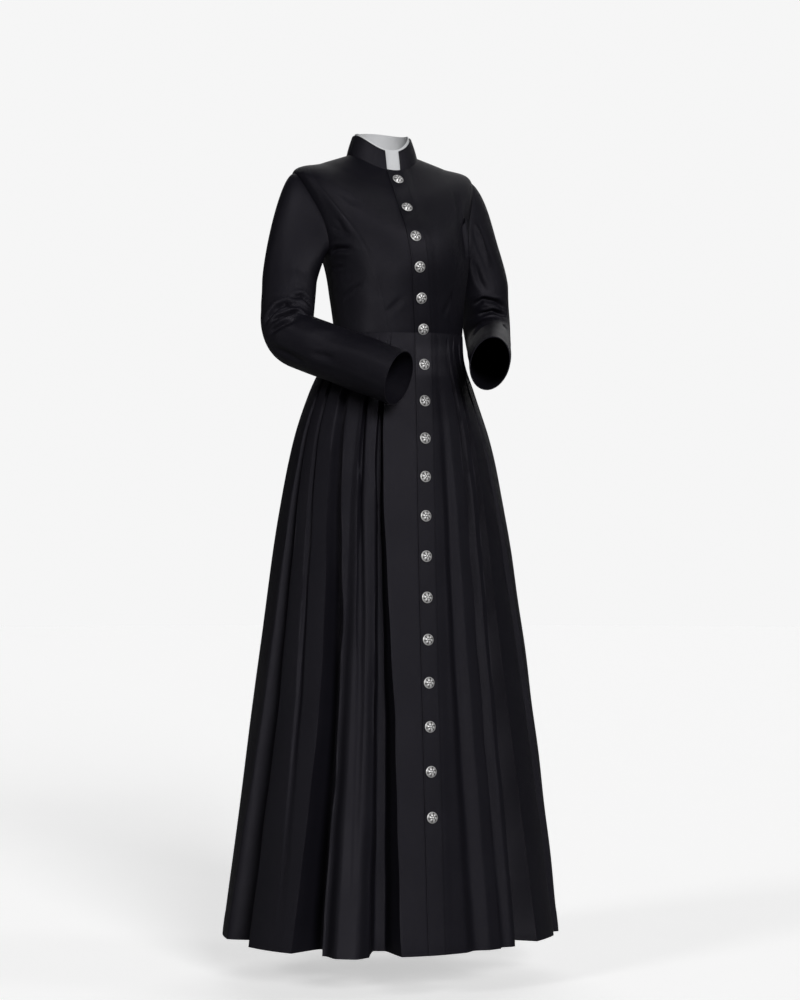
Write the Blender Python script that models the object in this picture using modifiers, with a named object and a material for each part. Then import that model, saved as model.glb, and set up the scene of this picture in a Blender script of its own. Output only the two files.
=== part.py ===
"""A floor-length cassock: fitted bodice, stand collar with a white band, set-in sleeves and a pleated skirt.

Metres, +Z up, front towards -Y, the wearer's left towards +X. The origin is the middle of the neck
opening, level with the neck end of the shoulder seams. Every panel is a wall of cloth: an open grid on
a ring surface, given its thickness by Solidify.
"""

import math

import bmesh
import bpy
from mathutils import Vector

# ---- cloth and making up
CLOTH = 0.0016
COLLAR_CLOTH = 0.0024
BAND_CLOTH = 0.0014
SEAM_GAP = 0.0007  # on the outer face; the walls' inner edges lean to about 0.3 mm of each other
SEAM_EDGE = 0.004  # a column this close to each seam keeps the wall square to its edge there
ARMHOLE_GAP = 0.0020
LAP_LIFT = 0.0021  # how far the left front stands off the right front where it laps
LAP_OVER = 0.015  # the left front's free edge, past the centre front
LAP_UNDER = 0.012  # the right front's edge, past the centre front the other way
LAP_FLAT = 0.016  # the left front keeps its full lift as far as this from the centre front
LAP_RAMP = 0.036  # and lies back in line with the rest from here on

# ---- main heights
WAIST_Z = -0.330
HEM_Z = -1.4235
COLLAR_RISE = 0.036
COLLAR_FOOT = 0.04  # the share of its rise at which the collar starts, clear of the neck seam
BAND_INSET = 0.0034
BAND_PROUD = 0.003
NOTCH_HALF = 0.0135

# ---- buttons
BUTTON_RADIUS = 0.0108
BUTTON_RISE = 0.0052
SHANK_RADIUS = 0.0035
SHANK_RISE = 0.0012
BUTTON_SIDES = 12
FIRST_BUTTON_Z = -0.0498
BODICE_BUTTONS = 6
BODICE_PITCH = 0.0548
SKIRT_BUTTONS = 12
SKIRT_PITCH = 0.0641
SKIRT_PITCH_GROWTH = 0.0014

# ---- ring sections. Angle 0 is the centre front, +90 the wearer's left side, 180 the centre back.
# z_* give the ring's height at the front, sides and back; x_front is the centre front's place, x_right
# and x_left the sides, and y_front, y_side and y_back where the front, the widest place and the back lie.
SECTION = "z_front z_side z_back x_front x_right x_left y_front y_side y_back".split()
BODICE_SECTIONS = [  # the ring number counts from 0 at the waist to 6 at the neck
    (-0.330, -0.330, -0.330, 0.022, -0.104, 0.136, -0.138, -0.040, 0.058),
    (-0.268, -0.268, -0.268, 0.013, -0.112, 0.138, -0.149, -0.044, 0.070),
    (-0.203, -0.205, -0.208, 0.004, -0.121, 0.146, -0.160, -0.042, 0.086),
    (-0.150, -0.128, -0.142, 0.000, -0.146, 0.156, -0.148, -0.020, 0.098),
    (-0.102, -0.038, -0.080, 0.000, -0.173, 0.173, -0.112, 0.000, 0.098),
    (-0.060, -0.017, -0.030, 0.000, -0.118, 0.118, -0.080, 0.002, 0.086),
    (-0.032, 0.000, 0.008, 0.000, -0.066, 0.066, -0.058, 0.001, 0.060),
]
SKIRT_SECTIONS = [
    (-0.330, -0.330, -0.330, 0.022, -0.104, 0.136, -0.138, -0.040, 0.058),
    (-0.380, -0.380, -0.380, 0.019, -0.124, 0.139, -0.148, -0.038, 0.084),
    (-0.437, -0.437, -0.437, 0.015, -0.149, 0.160, -0.159, -0.036, 0.110),
    (-0.520, -0.520, -0.520, 0.009, -0.175, 0.191, -0.175, -0.032, 0.136),
    (-0.630, -0.630, -0.630, 0.002, -0.195, 0.219, -0.193, -0.026, 0.166),
    (-0.795, -0.795, -0.795, -0.005, -0.215, 0.249, -0.215, -0.016, 0.202),
    (-1.016, -1.016, -1.016, -0.010, -0.240, 0.283, -0.239, -0.006, 0.238),
    (-1.236, -1.236, -1.236, -0.013, -0.267, 0.314, -0.259, 0.001, 0.266),
    (-1.4235, -1.4235, -1.4235, -0.015, -0.291, 0.337, -0.276, 0.005, 0.288),
]
NECK_RING = len(BODICE_SECTIONS) - 1
COLLAR_RIM = (0.004, 0.037, 0.045, 0.000, -0.054, 0.054, -0.049, 0.002, 0.052)

# ---- seams on the bodice
UNDERARM_RING = 2.25
SHOULDER_RING = 4.0
ARMHOLE_FRONT_DEG = 19.0
ARMHOLE_BACK_DEG = 16.0
PRINCESS_STOPS = [  # the ring number and the angle of the shoulder princess seam
    (0.0, 30.0),
    (1.0, 33.0),
    (2.0, 39.0),
    (3.0, 46.0),
    (4.0, 62.0),
    (4.7, 87.0),
]

# ---- folds of the skirt. A valley runs down between its two edges, whose angles are given near the
# waist, half way down and at the hem; depth is how far it falls in at those places, and less than 0
# for a ridge. soft_from and soft_to are the shares of its width that its two flanks take.
FOLD = (
    "from_waist from_mid from_hem to_waist to_mid to_hem depth_waist depth_mid depth_hem soft_from soft_to"
).split()
FOLDS = [
    # the wearer's right front, from the side towards the placket
    (-84.0, -86.0, -96.0, -80.0, -74.0, -76.0, 0.0117, 0.034, 0.062, 0.55, 0.18),
    (-71.5, -64.0, -62.0, -68.0, -60.0, -58.0, 0.0140, 0.005, 0.000, 0.30, 0.60),
    (-58.0, -50.0, -54.0, -50.0, -41.0, -42.0, 0.0140, 0.036, 0.065, 0.40, 0.16),
    (-38.5, -33.0, -31.0, -35.5, -29.0, -28.0, 0.0140, 0.005, 0.000, 0.25, 0.60),
    (-41.0, -39.5, -41.0, -29.0, -24.5, -23.8, -0.0026, -0.010, -0.023, 0.35, 0.30),
    (-29.0, -25.0, -24.5, -26.0, -17.5, -12.5, 0.0140, 0.042, 0.068, 0.16, 0.50),
    # the wearer's left front, from the placket towards the side
    (9.0, 9.0, 10.0, 18.0, 17.0, 19.0, 0.0000, 0.010, 0.010, 0.50, 0.50),
    (25.5, 22.5, 23.0, 29.0, 27.0, 27.5, 0.0140, 0.016, 0.007, 0.30, 0.55),
    (34.0, 30.0, 29.0, 37.0, 36.0, 41.0, 0.0140, 0.036, 0.073, 0.30, 0.35),
    (46.0, 50.0, 55.0, 49.0, 57.0, 64.0, 0.0137, 0.023, 0.034, 0.35, 0.45),
    (58.0, 70.0, 72.0, 61.0, 76.0, 80.0, 0.0111, 0.000, 0.000, 0.50, 0.50),
    (80.0, 87.0, 86.0, 84.0, 97.0, 102.0, 0.0123, 0.023, 0.049, 0.35, 0.45),
    # the back, from the wearer's left side round to the right
    (98.0, 102.0, 104.0, 101.0, 105.0, 107.0, 0.0094, 0.000, 0.000, 0.50, 0.50),
    (118.0, 120.0, 119.0, 122.0, 131.0, 134.0, 0.0105, 0.022, 0.046, 0.40, 0.35),
    (134.0, 141.0, 142.0, 137.0, 146.0, 148.0, 0.0094, 0.007, 0.004, 0.50, 0.50),
    (150.0, 152.0, 151.0, 154.0, 162.0, 165.0, 0.0105, 0.020, 0.044, 0.45, 0.35),
    (176.0, 177.0, 178.0, 184.0, 186.0, 190.0, 0.0105, 0.015, 0.031, 0.50, 0.50),
    (203.0, 202.0, 203.0, 207.0, 212.0, 217.0, 0.0105, 0.022, 0.047, 0.35, 0.45),
    (222.0, 221.0, 224.0, 225.0, 225.0, 228.0, 0.0094, 0.000, 0.000, 0.50, 0.50),
    (238.0, 231.0, 231.0, 242.0, 243.0, 246.0, 0.0105, 0.020, 0.044, 0.35, 0.40),
]
MID_FALL = 0.50  # the share of the skirt's length where the middle figures hold
TOP_FALL = 0.08  # and where the first figures hold; the folds are flat in the seam above it
SIDE_SEAM_LEFT = 111.0
SIDE_SEAM_RIGHT = -105.0
BACK_SEAM = 171.0

# ---- sleeves. The cap runs from the armhole to the first ring of the arm; the corner is where the
# arm would bend if it bent sharply. wide is half the arm's width across and deep the other way.
ARM_TOP_WIDE = 0.049
ARM_TOP_DEEP = 0.051
CAP_REACH_TOP = 0.085
CAP_REACH_UNDER = 0.020
CAP_FALL_TOP = 0.110
CAP_FALL_UNDER = 0.030
ELBOW_BEND = 0.058
SLEEVES = {
    "right": {
        "side": -1,
        "top": (-0.192, -0.024, -0.238),
        "corner": (-0.212, -0.060, -0.336),
        "wrist": (-0.068, -0.240, -0.417),
        "cuff_wide": 0.045,
        "cuff_deep": 0.050,
    },
    "left": {
        "side": 1,
        "top": (0.199, -0.004, -0.238),
        "corner": (0.223, 0.016, -0.330),
        "wrist": (0.108, -0.238, -0.388),
        "cuff_wide": 0.035,
        "cuff_deep": 0.049,
    },
}

# ---- how finely the walls are cut
ARMHOLE_STEPS = 16
CAP_STEPS = 4
ARM_STEPS = 3
BEND_STEPS = 5
FOREARM_STEPS = 4
SKIRT_ROWS = 11
PLAIN_COLUMN_DEG = 9.0
COLLAR_COLUMNS = 24

SIDE_DEG = 90.0
BACK_DEG = 180.0
FULL_DEG = 360.0

BLACK = (0.010, 0.010, 0.013)
WHITE = (0.80, 0.81, 0.83)
SILVER = (0.56, 0.55, 0.52)


# ---- interpolation


def ease(x):
    x = min(max(x, 0.0), 1.0)
    return x * x * (3.0 - 2.0 * x)


def smooth_value(places, values, at):
    """A smooth curve through values at places, which rise; straight on beyond both ends."""
    last = len(places) - 1
    at_low = at <= places[0]
    i = 0 if at_low else last - 1
    for k in range(last):
        if places[k] <= at < places[k + 1]:
            i = k
    span = places[i + 1] - places[i]
    u = (at - places[i]) / span

    def slope(k):
        low, high = max(k - 1, 0), min(k + 1, last)
        return (values[high] - values[low]) / (places[high] - places[low])

    if u < 0.0:
        return values[0] + slope(0) * (at - places[0])
    if u > 1.0:
        return values[last] + slope(last) * (at - places[last])
    a = (1.0 + 2.0 * u) * (1.0 - u) ** 2
    b = u * u * (3.0 - 2.0 * u)
    return (
        a * values[i]
        + b * values[i + 1]
        + span * slope(i) * u * (1.0 - u) ** 2
        - span * slope(i + 1) * u * u * (1.0 - u)
    )


def section_at(rows, places, at):
    columns = zip(*rows)
    return {
        name: smooth_value(places, column, at)
        for name, column in zip(SECTION, columns)
    }


def ring_point(section, deg):
    """The point of a ring at an angle round it."""
    turn = math.radians(deg)
    s, c = math.sin(turn), math.cos(turn)
    side = section["x_left"] if s > 0 else section["x_right"]
    x = section["x_front"] + (side - section["x_front"]) * abs(s)
    end, z_end = (
        (section["y_front"], section["z_front"])
        if c > 0
        else (section["y_back"], section["z_back"])
    )
    y = section["y_side"] + (end - section["y_side"]) * abs(c)
    z = section["z_side"] + (z_end - section["z_side"]) * c * c
    return Vector((x, y, z))


def bodice_point(deg, ring, lift=0.0):
    section = section_at(BODICE_SECTIONS, list(range(NECK_RING + 1)), ring)
    point = ring_point(section, deg)
    if lift:
        point += outward(bodice_point, deg, ring) * lift
    return point


def fall_at(z):
    return (WAIST_Z - z) / (WAIST_Z - HEM_Z)


def fold_at(fold, fall):
    """A fold's two edges and its depth at a share of the skirt's length."""
    row = dict(zip(FOLD, fold))
    places = (TOP_FALL, MID_FALL, 1.0)

    def at(name):
        values = [row[f"{name}_{stage}"] for stage in ("waist", "mid", "hem")]
        return smooth_value(places, values, max(fall, TOP_FALL))

    depth = at("depth") * ease(fall / TOP_FALL)
    return at("from"), at("to"), depth, row["soft_from"], row["soft_to"]


def fold_depth(deg, fall):
    """How far the skirt falls in at an angle, all folds together."""
    total = 0.0
    for fold in FOLDS:
        start, end, depth, soft_from, soft_to = fold_at(fold, fall)
        middle = (start + end) / 2
        off = (deg - middle + BACK_DEG) % FULL_DEG - BACK_DEG
        width = end - start
        share = off / width + 0.5
        total += depth * ease(share / soft_from) * ease((1.0 - share) / soft_to)
    return total


def skirt_point(deg, z, lift=0.0):
    places = [-row[0] for row in SKIRT_SECTIONS]
    section = section_at(SKIRT_SECTIONS, places, -z)
    point = ring_point(section, deg)
    turn = math.radians(deg)
    away = Vector((math.sin(turn), -math.cos(turn), 0.0))
    return point + away * (lift - fold_depth(deg, fall_at(z)))


def outward(surface, deg, at, step=0.5, rise=0.01):
    """The direction square to a ring surface, away from the wearer."""
    across = surface(deg + step, at) - surface(deg - step, at)
    along = surface(deg, at + rise) - surface(deg, at - rise)
    normal = across.cross(along).normalized()
    turn = math.radians(deg)
    away = Vector((math.sin(turn), -math.cos(turn), 0.0))
    return normal if normal.dot(away) > 0 else -normal


def degrees_for(surface, deg, at, distance):
    """The angle that covers a distance along a ring, at an angle on it."""
    step = 0.5
    run = (surface(deg + step, at) - surface(deg - step, at)).length
    return 2.0 * step * distance / run


# ---- walls


def wall(name, points, material, thickness, closed=False):
    """A wall of cloth on a grid of points, thickened inwards. Rows run up, columns towards +X in front."""
    mesh = bpy.data.meshes.new(name)
    bm = bmesh.new()
    rows = [[bm.verts.new(p) for p in row] for row in points]
    for low, high in zip(rows, rows[1:]):
        count = len(low) if closed else len(low) - 1
        for i in range(count):
            j = (i + 1) % len(low)
            bm.faces.new((low[i], low[j], high[j], high[i]))
    bmesh.ops.remove_doubles(bm, verts=bm.verts, dist=0.00001)
    bm.to_mesh(mesh)
    bm.free()
    obj = bpy.data.objects.new(name, mesh)
    collection.objects.link(obj)
    mesh.materials.append(material)
    mesh.shade_smooth()
    solid = obj.modifiers.new("cloth", "SOLIDIFY")
    solid.thickness = thickness
    solid.offset = -1.0
    solid.use_even_offset = True
    return obj


def spread(start, end, count):
    return [start + (end - start) * i / count for i in range(count + 1)]


def seam_to_seam(start, end, near, count):
    """Even columns between two seams, with one more close to each; near is that distance in degrees."""
    return [start] + spread(start + near, end - near, count) + [end]


# ---- bodice


def armhole_deg(ring, depth):
    """The angle of the armhole's edge, from the centre front or the centre back."""
    middle = (UNDERARM_RING + SHOULDER_RING) / 2
    half = (SHOULDER_RING - UNDERARM_RING) / 2
    share = (ring - middle) / half
    if abs(share) >= 1.0:
        return SIDE_DEG
    return SIDE_DEG - depth * math.sqrt(1.0 - share * share)


def princess_deg(ring):
    rings, degrees = zip(*PRINCESS_STOPS)
    return min(smooth_value(rings, degrees, ring), SIDE_DEG)


def bodice_rings(last):
    """The ring numbers of the rows: even below the underarm, then as the armhole's steps fall."""
    middle = (UNDERARM_RING + SHOULDER_RING) / 2
    half = (SHOULDER_RING - UNDERARM_RING) / 2
    low = spread(0.0, UNDERARM_RING, 4)[:-1]
    steps = ARMHOLE_STEPS // 2
    arm = [middle - half * math.cos(math.pi * k / steps) for k in range(steps + 1)]
    high = [r for r in (PRINCESS_STOPS[-1][0], 5.3, float(NECK_RING)) if r > SHOULDER_RING]
    return [r for r in low + arm + high if r <= last + 0.001]


def lap_lift(distance):
    return LAP_LIFT * ease((LAP_RAMP - distance) / (LAP_RAMP - LAP_FLAT))


def front_start(side, surface, at):
    """The centre-front edge of a front, as an angle on its own side."""
    reach = -LAP_OVER if side > 0 else -LAP_UNDER
    return degrees_for(surface, 0.0, at, reach)


def lapped_columns(side, surface, at, end, plain):
    """The columns of a front from its free edge to an angle, close together across the lap."""
    start = front_start(side, surface, at)
    marks = [0.0, LAP_FLAT, LAP_RAMP] if side > 0 else [0.0]
    near = [start] + [degrees_for(surface, 0.0, at, m) for m in marks]
    return near + spread(near[-1], end, plain)[1:]


def front_row(side, surface, at, columns):
    """The points of a row of a front; the left one stands off where it laps over the right one."""
    row = []
    for deg in columns:
        distance = deg / degrees_for(surface, 0.0, at, 1.0)
        lift = lap_lift(distance) if side > 0 else 0.0
        row.append(surface(side * deg, at, lift))
    return row if side > 0 else row[::-1]


def bodice_front(side):
    rows = []
    for ring in bodice_rings(NECK_RING):
        edge = princess_deg(ring)
        gap = degrees_for(bodice_point, side * edge, ring, SEAM_GAP / 2)
        near = degrees_for(bodice_point, side * edge, ring, SEAM_EDGE)
        end = edge - gap
        columns = lapped_columns(side, bodice_point, ring, end - near, 4) + [end]
        rows.append(front_row(side, bodice_point, ring, columns))
    name = "bodice_front_left" if side > 0 else "bodice_front_right"
    return wall(name, rows, black, CLOTH)


def bodice_side_front(side):
    rows = []
    for ring in bodice_rings(PRINCESS_STOPS[-1][0]):
        edge = armhole_deg(ring, ARMHOLE_FRONT_DEG)
        gap = degrees_for(bodice_point, side * edge, ring, SEAM_GAP / 2)
        start = princess_deg(ring) + gap
        end = edge - gap
        near = min(degrees_for(bodice_point, side * edge, ring, SEAM_EDGE), (end - start) / 4)
        columns = seam_to_seam(start, end, near, 3)
        row = [bodice_point(side * deg, ring) for deg in columns]
        rows.append(row if side > 0 else row[::-1])
    name = "bodice_side_front_left" if side > 0 else "bodice_side_front_right"
    return wall(name, rows, black, CLOTH)


def bodice_back():
    rows = []
    for ring in bodice_rings(NECK_RING):
        edge = armhole_deg(ring, ARMHOLE_BACK_DEG)
        gap = degrees_for(bodice_point, SIDE_DEG + 1.0, ring, SEAM_GAP / 2)
        near = degrees_for(bodice_point, SIDE_DEG + 1.0, ring, SEAM_EDGE)
        start = BACK_DEG - edge + gap
        columns = seam_to_seam(start, FULL_DEG - start, near, 11)
        rows.append([bodice_point(deg, ring) for deg in columns])
    return wall("bodice_back", rows, black, CLOTH)


# ---- collar


def collar_ring(share, inset=0.0):
    """A ring between the neck seam and the collar's rim, drawn in by inset."""
    base = dict(zip(SECTION, BODICE_SECTIONS[NECK_RING]))
    rim = dict(zip(SECTION, COLLAR_RIM))
    ring = {name: base[name] + (rim[name] - base[name]) * share for name in SECTION}
    for name in ("x_right", "y_front"):
        ring[name] += inset
    for name in ("x_left", "y_back"):
        ring[name] -= inset
    return ring


def collar_columns():
    return spread(0.0, FULL_DEG, COLLAR_COLUMNS)[:-1]


def collar_stand():
    rows = []
    for share in (COLLAR_FOOT, 0.35, 0.70, 1.0):
        ring = collar_ring(share)
        reach = math.degrees(math.asin(NOTCH_HALF / ring["x_left"]))
        columns = [reach] + collar_columns()[2:-1] + [FULL_DEG - reach]
        rows.append([ring_point(ring, deg) for deg in columns])
    return wall("collar_stand", rows, black, COLLAR_CLOTH)


def collar_band():
    proud = 1.0 + BAND_PROUD / COLLAR_RISE
    rows = []
    for share in (COLLAR_FOOT, 0.35, 0.70, 1.0, proud):
        ring = collar_ring(share, BAND_INSET)
        rows.append([ring_point(ring, deg) for deg in collar_columns()])
    return wall("collar_band", rows, white, BAND_CLOTH, closed=True)


# ---- sleeves


def armhole_loop(side):
    """The armhole's edge, from the shoulder down the front to the underarm and up the back."""
    middle = (UNDERARM_RING + SHOULDER_RING) / 2
    half = (SHOULDER_RING - UNDERARM_RING) / 2
    loop = []
    for k in range(ARMHOLE_STEPS):
        turn = math.tau * k / ARMHOLE_STEPS
        ring = middle + half * math.cos(turn)
        s = math.sin(turn)
        deg = SIDE_DEG - (ARMHOLE_FRONT_DEG if s > 0 else ARMHOLE_BACK_DEG) * s
        loop.append(bodice_point(side * deg, ring) + Vector((side * ARMHOLE_GAP, 0, 0)))
    return loop


def arm_rings(sleeve):
    """The centre, direction and half sizes of the rings down the arm, round the bend to the cuff."""
    top, corner, wrist = (Vector(sleeve[k]) for k in ("top", "corner", "wrist"))
    upper = (corner - top).normalized()
    fore = (wrist - corner).normalized()
    bend = upper.angle(fore)
    cut = ELBOW_BEND * math.tan(bend / 2)
    start = corner - upper * cut
    end = corner + fore * cut
    axis = upper.cross(fore).normalized()
    centre = start + axis.cross(upper) * ELBOW_BEND
    stations = [(top + (start - top) * k / ARM_STEPS, upper) for k in range(ARM_STEPS)]
    for k in range(BEND_STEPS + 1):
        turn = bend * k / BEND_STEPS
        arm = start - centre
        spun = arm * math.cos(turn) + axis.cross(arm) * math.sin(turn)
        heading = upper * math.cos(turn) + axis.cross(upper) * math.sin(turn)
        stations.append((centre + spun, heading))
    for k in range(1, FOREARM_STEPS + 1):
        stations.append((end + (wrist - end) * k / FOREARM_STEPS, fore))
    last = len(stations) - 1
    rings = []
    for k, (place, heading) in enumerate(stations):
        share = k / last
        wide = ARM_TOP_WIDE + (sleeve["cuff_wide"] - ARM_TOP_WIDE) * share
        deep = ARM_TOP_DEEP + (sleeve["cuff_deep"] - ARM_TOP_DEEP) * share
        rings.append((place, heading, wide, deep))
    return rings


def arm_ring_points(ring, outer):
    place, heading, wide, deep = ring
    front = heading.cross(outer).normalized()
    points = []
    for k in range(ARMHOLE_STEPS):
        turn = math.tau * k / ARMHOLE_STEPS
        points.append(
            place + outer * wide * math.cos(turn) + front * deep * math.sin(turn)
        )
    return points


def hermite(a, a_way, b, b_way, u):
    return (
        a * (1.0 + 2.0 * u) * (1.0 - u) ** 2
        + a_way * u * (1.0 - u) ** 2
        + b * u * u * (3.0 - 2.0 * u)
        - b_way * u * u * (1.0 - u)
    )


def sleeve(which):
    shape = SLEEVES[which]
    side = shape["side"]
    rings = arm_rings(shape)
    outer = Vector((side, 0.0, 0.0))
    arm = []
    for ring in rings:
        outer = (outer - ring[1] * outer.dot(ring[1])).normalized()
        points = arm_ring_points(ring, outer)
        if side < 0:
            points = [points[0]] + points[:0:-1]
        arm.append(points)
    loop = armhole_loop(side)
    cap = []
    for step in range(CAP_STEPS):
        u = step / CAP_STEPS
        row = []
        for k in range(ARMHOLE_STEPS):
            high = (1.0 + math.cos(math.tau * k / ARMHOLE_STEPS)) / 2
            reach = CAP_REACH_UNDER + (CAP_REACH_TOP - CAP_REACH_UNDER) * high
            fall = CAP_FALL_UNDER + (CAP_FALL_TOP - CAP_FALL_UNDER) * high
            leave = Vector((side * reach, 0.0, -fall * 0.2))
            row.append(hermite(loop[k], leave, arm[0][k], rings[0][1] * fall, u))
        cap.append(row)
    rows = cap + arm
    if side > 0:
        rows = [row[::-1] for row in rows]
    return wall(f"sleeve_{which}", rows, black, CLOTH, closed=True)


# ---- skirt


def skirt_heights():
    """Rows close together at the waist, where the pleats set off, and further apart lower down."""
    top = WAIST_Z - SEAM_GAP
    return [top + (HEM_Z - top) * (k / SKIRT_ROWS) ** 1.25 for k in range(SKIRT_ROWS, -1, -1)]


def fold_marks(fall, start, end):
    """The angles between start and end where the folds' flanks begin and end, in order."""
    marks = []
    for fold in FOLDS:
        low, high, _, soft_from, soft_to = fold_at(fold, fall)
        width = high - low
        for deg in (low, low + width * soft_from, high - width * soft_to, high):
            for turned in (deg, deg - FULL_DEG, deg + FULL_DEG):
                if start < turned < end:
                    marks.append(turned)
    return sorted(marks)


def column_tracks(start, end):
    """Columns between two seams, as shares of the way across at the hem, and plain ones between."""
    marks = [start] + fold_marks(1.0, start, end) + [end]
    kept = [marks[0]]
    for mark in marks[1:]:
        if mark - kept[-1] > 1.6:
            kept.append(mark)
    kept[-1] = end
    tracks = [start]
    for low, high in zip(kept, kept[1:]):
        tracks += spread(low, high, max(1, round((high - low) / PLAIN_COLUMN_DEG)))[1:]
    return tracks


def panel_at(tracks, fall, start, end):
    """The angles of the tracks at a height, moved with the folds' edges that they follow."""
    hem = [start] + fold_edges(1.0, start, end) + [end]
    here = [start] + fold_edges(fall, start, end) + [end]
    angles = []
    for track in tracks:
        k = max(i for i in range(len(hem) - 1) if hem[i] <= track + 1e-9)
        share = (track - hem[k]) / (hem[k + 1] - hem[k])
        angles.append(here[k] + (here[k + 1] - here[k]) * share)
    return angles


def fold_edges(fall, start, end):
    """The edges of the valleys that last to the hem, in order; these carry the columns with them."""
    edges = []
    for fold in FOLDS:
        row = dict(zip(FOLD, fold))
        if row["depth_hem"] < 0.012:
            continue
        low, high, _, _, _ = fold_at(fold, fall)
        for deg, hem_deg in ((low, row["from_hem"]), (high, row["to_hem"])):
            for turn in (0.0, -FULL_DEG, FULL_DEG):
                if start + 2.0 < hem_deg + turn < end - 2.0:
                    edges.append((hem_deg + turn, deg + turn))
    return [deg for _, deg in sorted(edges)]


def skirt_front(side):
    seam = SIDE_SEAM_LEFT if side > 0 else SIDE_SEAM_RIGHT
    low, high = (0.0, seam) if side > 0 else (seam, 0.0)
    tracks = column_tracks(low, high)
    rows = []
    for z in skirt_heights():
        gap = degrees_for(skirt_point, seam, z, SEAM_GAP / 2)
        angles = panel_at(tracks, fall_at(z), low, high)
        if side > 0:
            angles[-1] -= gap
            inner = [a for a in angles if a > 0]
            columns = lap_and_rest(side, z, inner)
        else:
            angles[0] += gap
            inner = [-a for a in angles[::-1] if a < 0]
            columns = lap_and_rest(side, z, inner)
        rows.append(front_row(side, skirt_point, z, columns))
    name = "skirt_front_left" if side > 0 else "skirt_front_right"
    return wall(name, rows, black, CLOTH)


def lap_and_rest(side, z, inner):
    """The lap's own columns, then the panel's, which start clear of it."""
    marks = [0.0, LAP_FLAT, LAP_RAMP] if side > 0 else [0.0, LAP_RAMP]
    near = [front_start(side, skirt_point, z)]
    near += [degrees_for(skirt_point, 0.0, z, m) for m in marks]
    floor = near[-1]
    return near + [max(a, floor + 0.8 * (i + 1)) for i, a in enumerate(inner)]


def skirt_back(side):
    low, high = (
        (SIDE_SEAM_LEFT, BACK_SEAM)
        if side > 0
        else (BACK_SEAM, FULL_DEG + SIDE_SEAM_RIGHT)
    )
    tracks = column_tracks(low, high)
    rows = []
    for z in skirt_heights():
        angles = panel_at(tracks, fall_at(z), low, high)
        angles[0] += degrees_for(skirt_point, low, z, SEAM_GAP / 2)
        angles[-1] -= degrees_for(skirt_point, high, z, SEAM_GAP / 2)
        rows.append([skirt_point(deg, z) for deg in angles])
    name = "skirt_back_left" if side > 0 else "skirt_back_right"
    return wall(name, rows, black, CLOTH)


# ---- buttons


def button_heights():
    heights = [FIRST_BUTTON_Z - BODICE_PITCH * k for k in range(BODICE_BUTTONS)]
    for k in range(SKIRT_BUTTONS):
        heights.append(heights[-1] - SKIRT_PITCH - SKIRT_PITCH_GROWTH * k)
    return heights


def ring_for_height(z):
    """The bodice ring whose centre front is at a height."""
    low, high = 0.0, float(NECK_RING)
    for _ in range(40):
        middle = (low + high) / 2
        if bodice_point(0.0, middle).z < z:
            low = middle
        else:
            high = middle
    return (low + high) / 2


def button_mesh():
    """A domed shank button, turned from its outline: down the dome, under the rim and to the shank."""
    base = SHANK_RISE
    outline = [
        (0.0, base + BUTTON_RISE),
        (BUTTON_RADIUS * 0.62, base + BUTTON_RISE * 0.80),
        (BUTTON_RADIUS, base + BUTTON_RISE * 0.22),
        (BUTTON_RADIUS * 0.90, base),
        (SHANK_RADIUS, base),
        (SHANK_RADIUS, 0.0),
        (0.0, 0.0),
    ]
    profile = bpy.data.meshes.new("button_outline")
    edges = [(i, i + 1) for i in range(len(outline) - 1)]
    profile.from_pydata([(r, 0.0, z) for r, z in outline], edges, [])
    obj = bpy.data.objects.new("button_outline", profile)
    bpy.context.scene.collection.objects.link(obj)
    screw = obj.modifiers.new("turn", "SCREW")
    screw.axis = "Z"
    screw.steps = BUTTON_SIDES
    screw.render_steps = BUTTON_SIDES
    screw.use_merge_vertices = True
    screw.merge_threshold = 0.00005
    graph = bpy.context.evaluated_depsgraph_get()
    turned = bpy.data.meshes.new_from_object(obj.evaluated_get(graph))
    turned.name = "button"
    bpy.data.objects.remove(obj)
    turned.materials.append(silver)
    turned.shade_smooth()
    return turned


def buttons():
    mesh = button_mesh()
    for number, z in enumerate(button_heights(), 1):
        if number <= BODICE_BUTTONS:
            ring = ring_for_height(z)
            place = bodice_point(0.0, ring, LAP_LIFT)
            normal = outward(bodice_point, 0.0, ring)
        else:
            place = skirt_point(0.0, z, LAP_LIFT)
            normal = outward(skirt_point, 0.0, z)
        obj = bpy.data.objects.new(f"button_{number:02d}", mesh)
        obj.rotation_euler = normal.to_track_quat("Z", "Y").to_euler()
        obj.location = place + normal * SEAM_GAP
        collection.objects.link(obj)


def material(name, colour, roughness, metallic):
    made = bpy.data.materials.new(name)
    made.use_nodes = True
    shader = made.node_tree.nodes["Principled BSDF"]
    shader.inputs["Base Color"].default_value = (*colour, 1.0)
    shader.inputs["Roughness"].default_value = roughness
    shader.inputs["Metallic"].default_value = metallic
    return made


for old in list(bpy.data.objects):
    bpy.data.objects.remove(old)
collection = bpy.data.collections.new("cassock")
bpy.context.scene.collection.children.link(collection)
black = material("black_gabardine", BLACK, 0.85, 0.0)
white = material("white_band", WHITE, 0.6, 0.0)
silver = material("antique_silver", SILVER, 0.4, 0.9)

for hand in (-1, 1):
    bodice_front(hand)
    bodice_side_front(hand)
    skirt_front(hand)
    skirt_back(hand)
bodice_back()
collar_stand()
collar_band()
sleeve("right")
sleeve("left")
buttons()
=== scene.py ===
"""A floor-length cassock in black gabardine, with a white collar band and antique silver buttons.

Laid out as a Blender add-on and run as a script. Metres, +Z up, the wearer's front towards -Y and the
wearer's left towards +X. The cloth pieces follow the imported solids: the same ring sections and folds,
cut finer, with creases, seams, hems and stitches worked into them.
"""

import math

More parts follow.
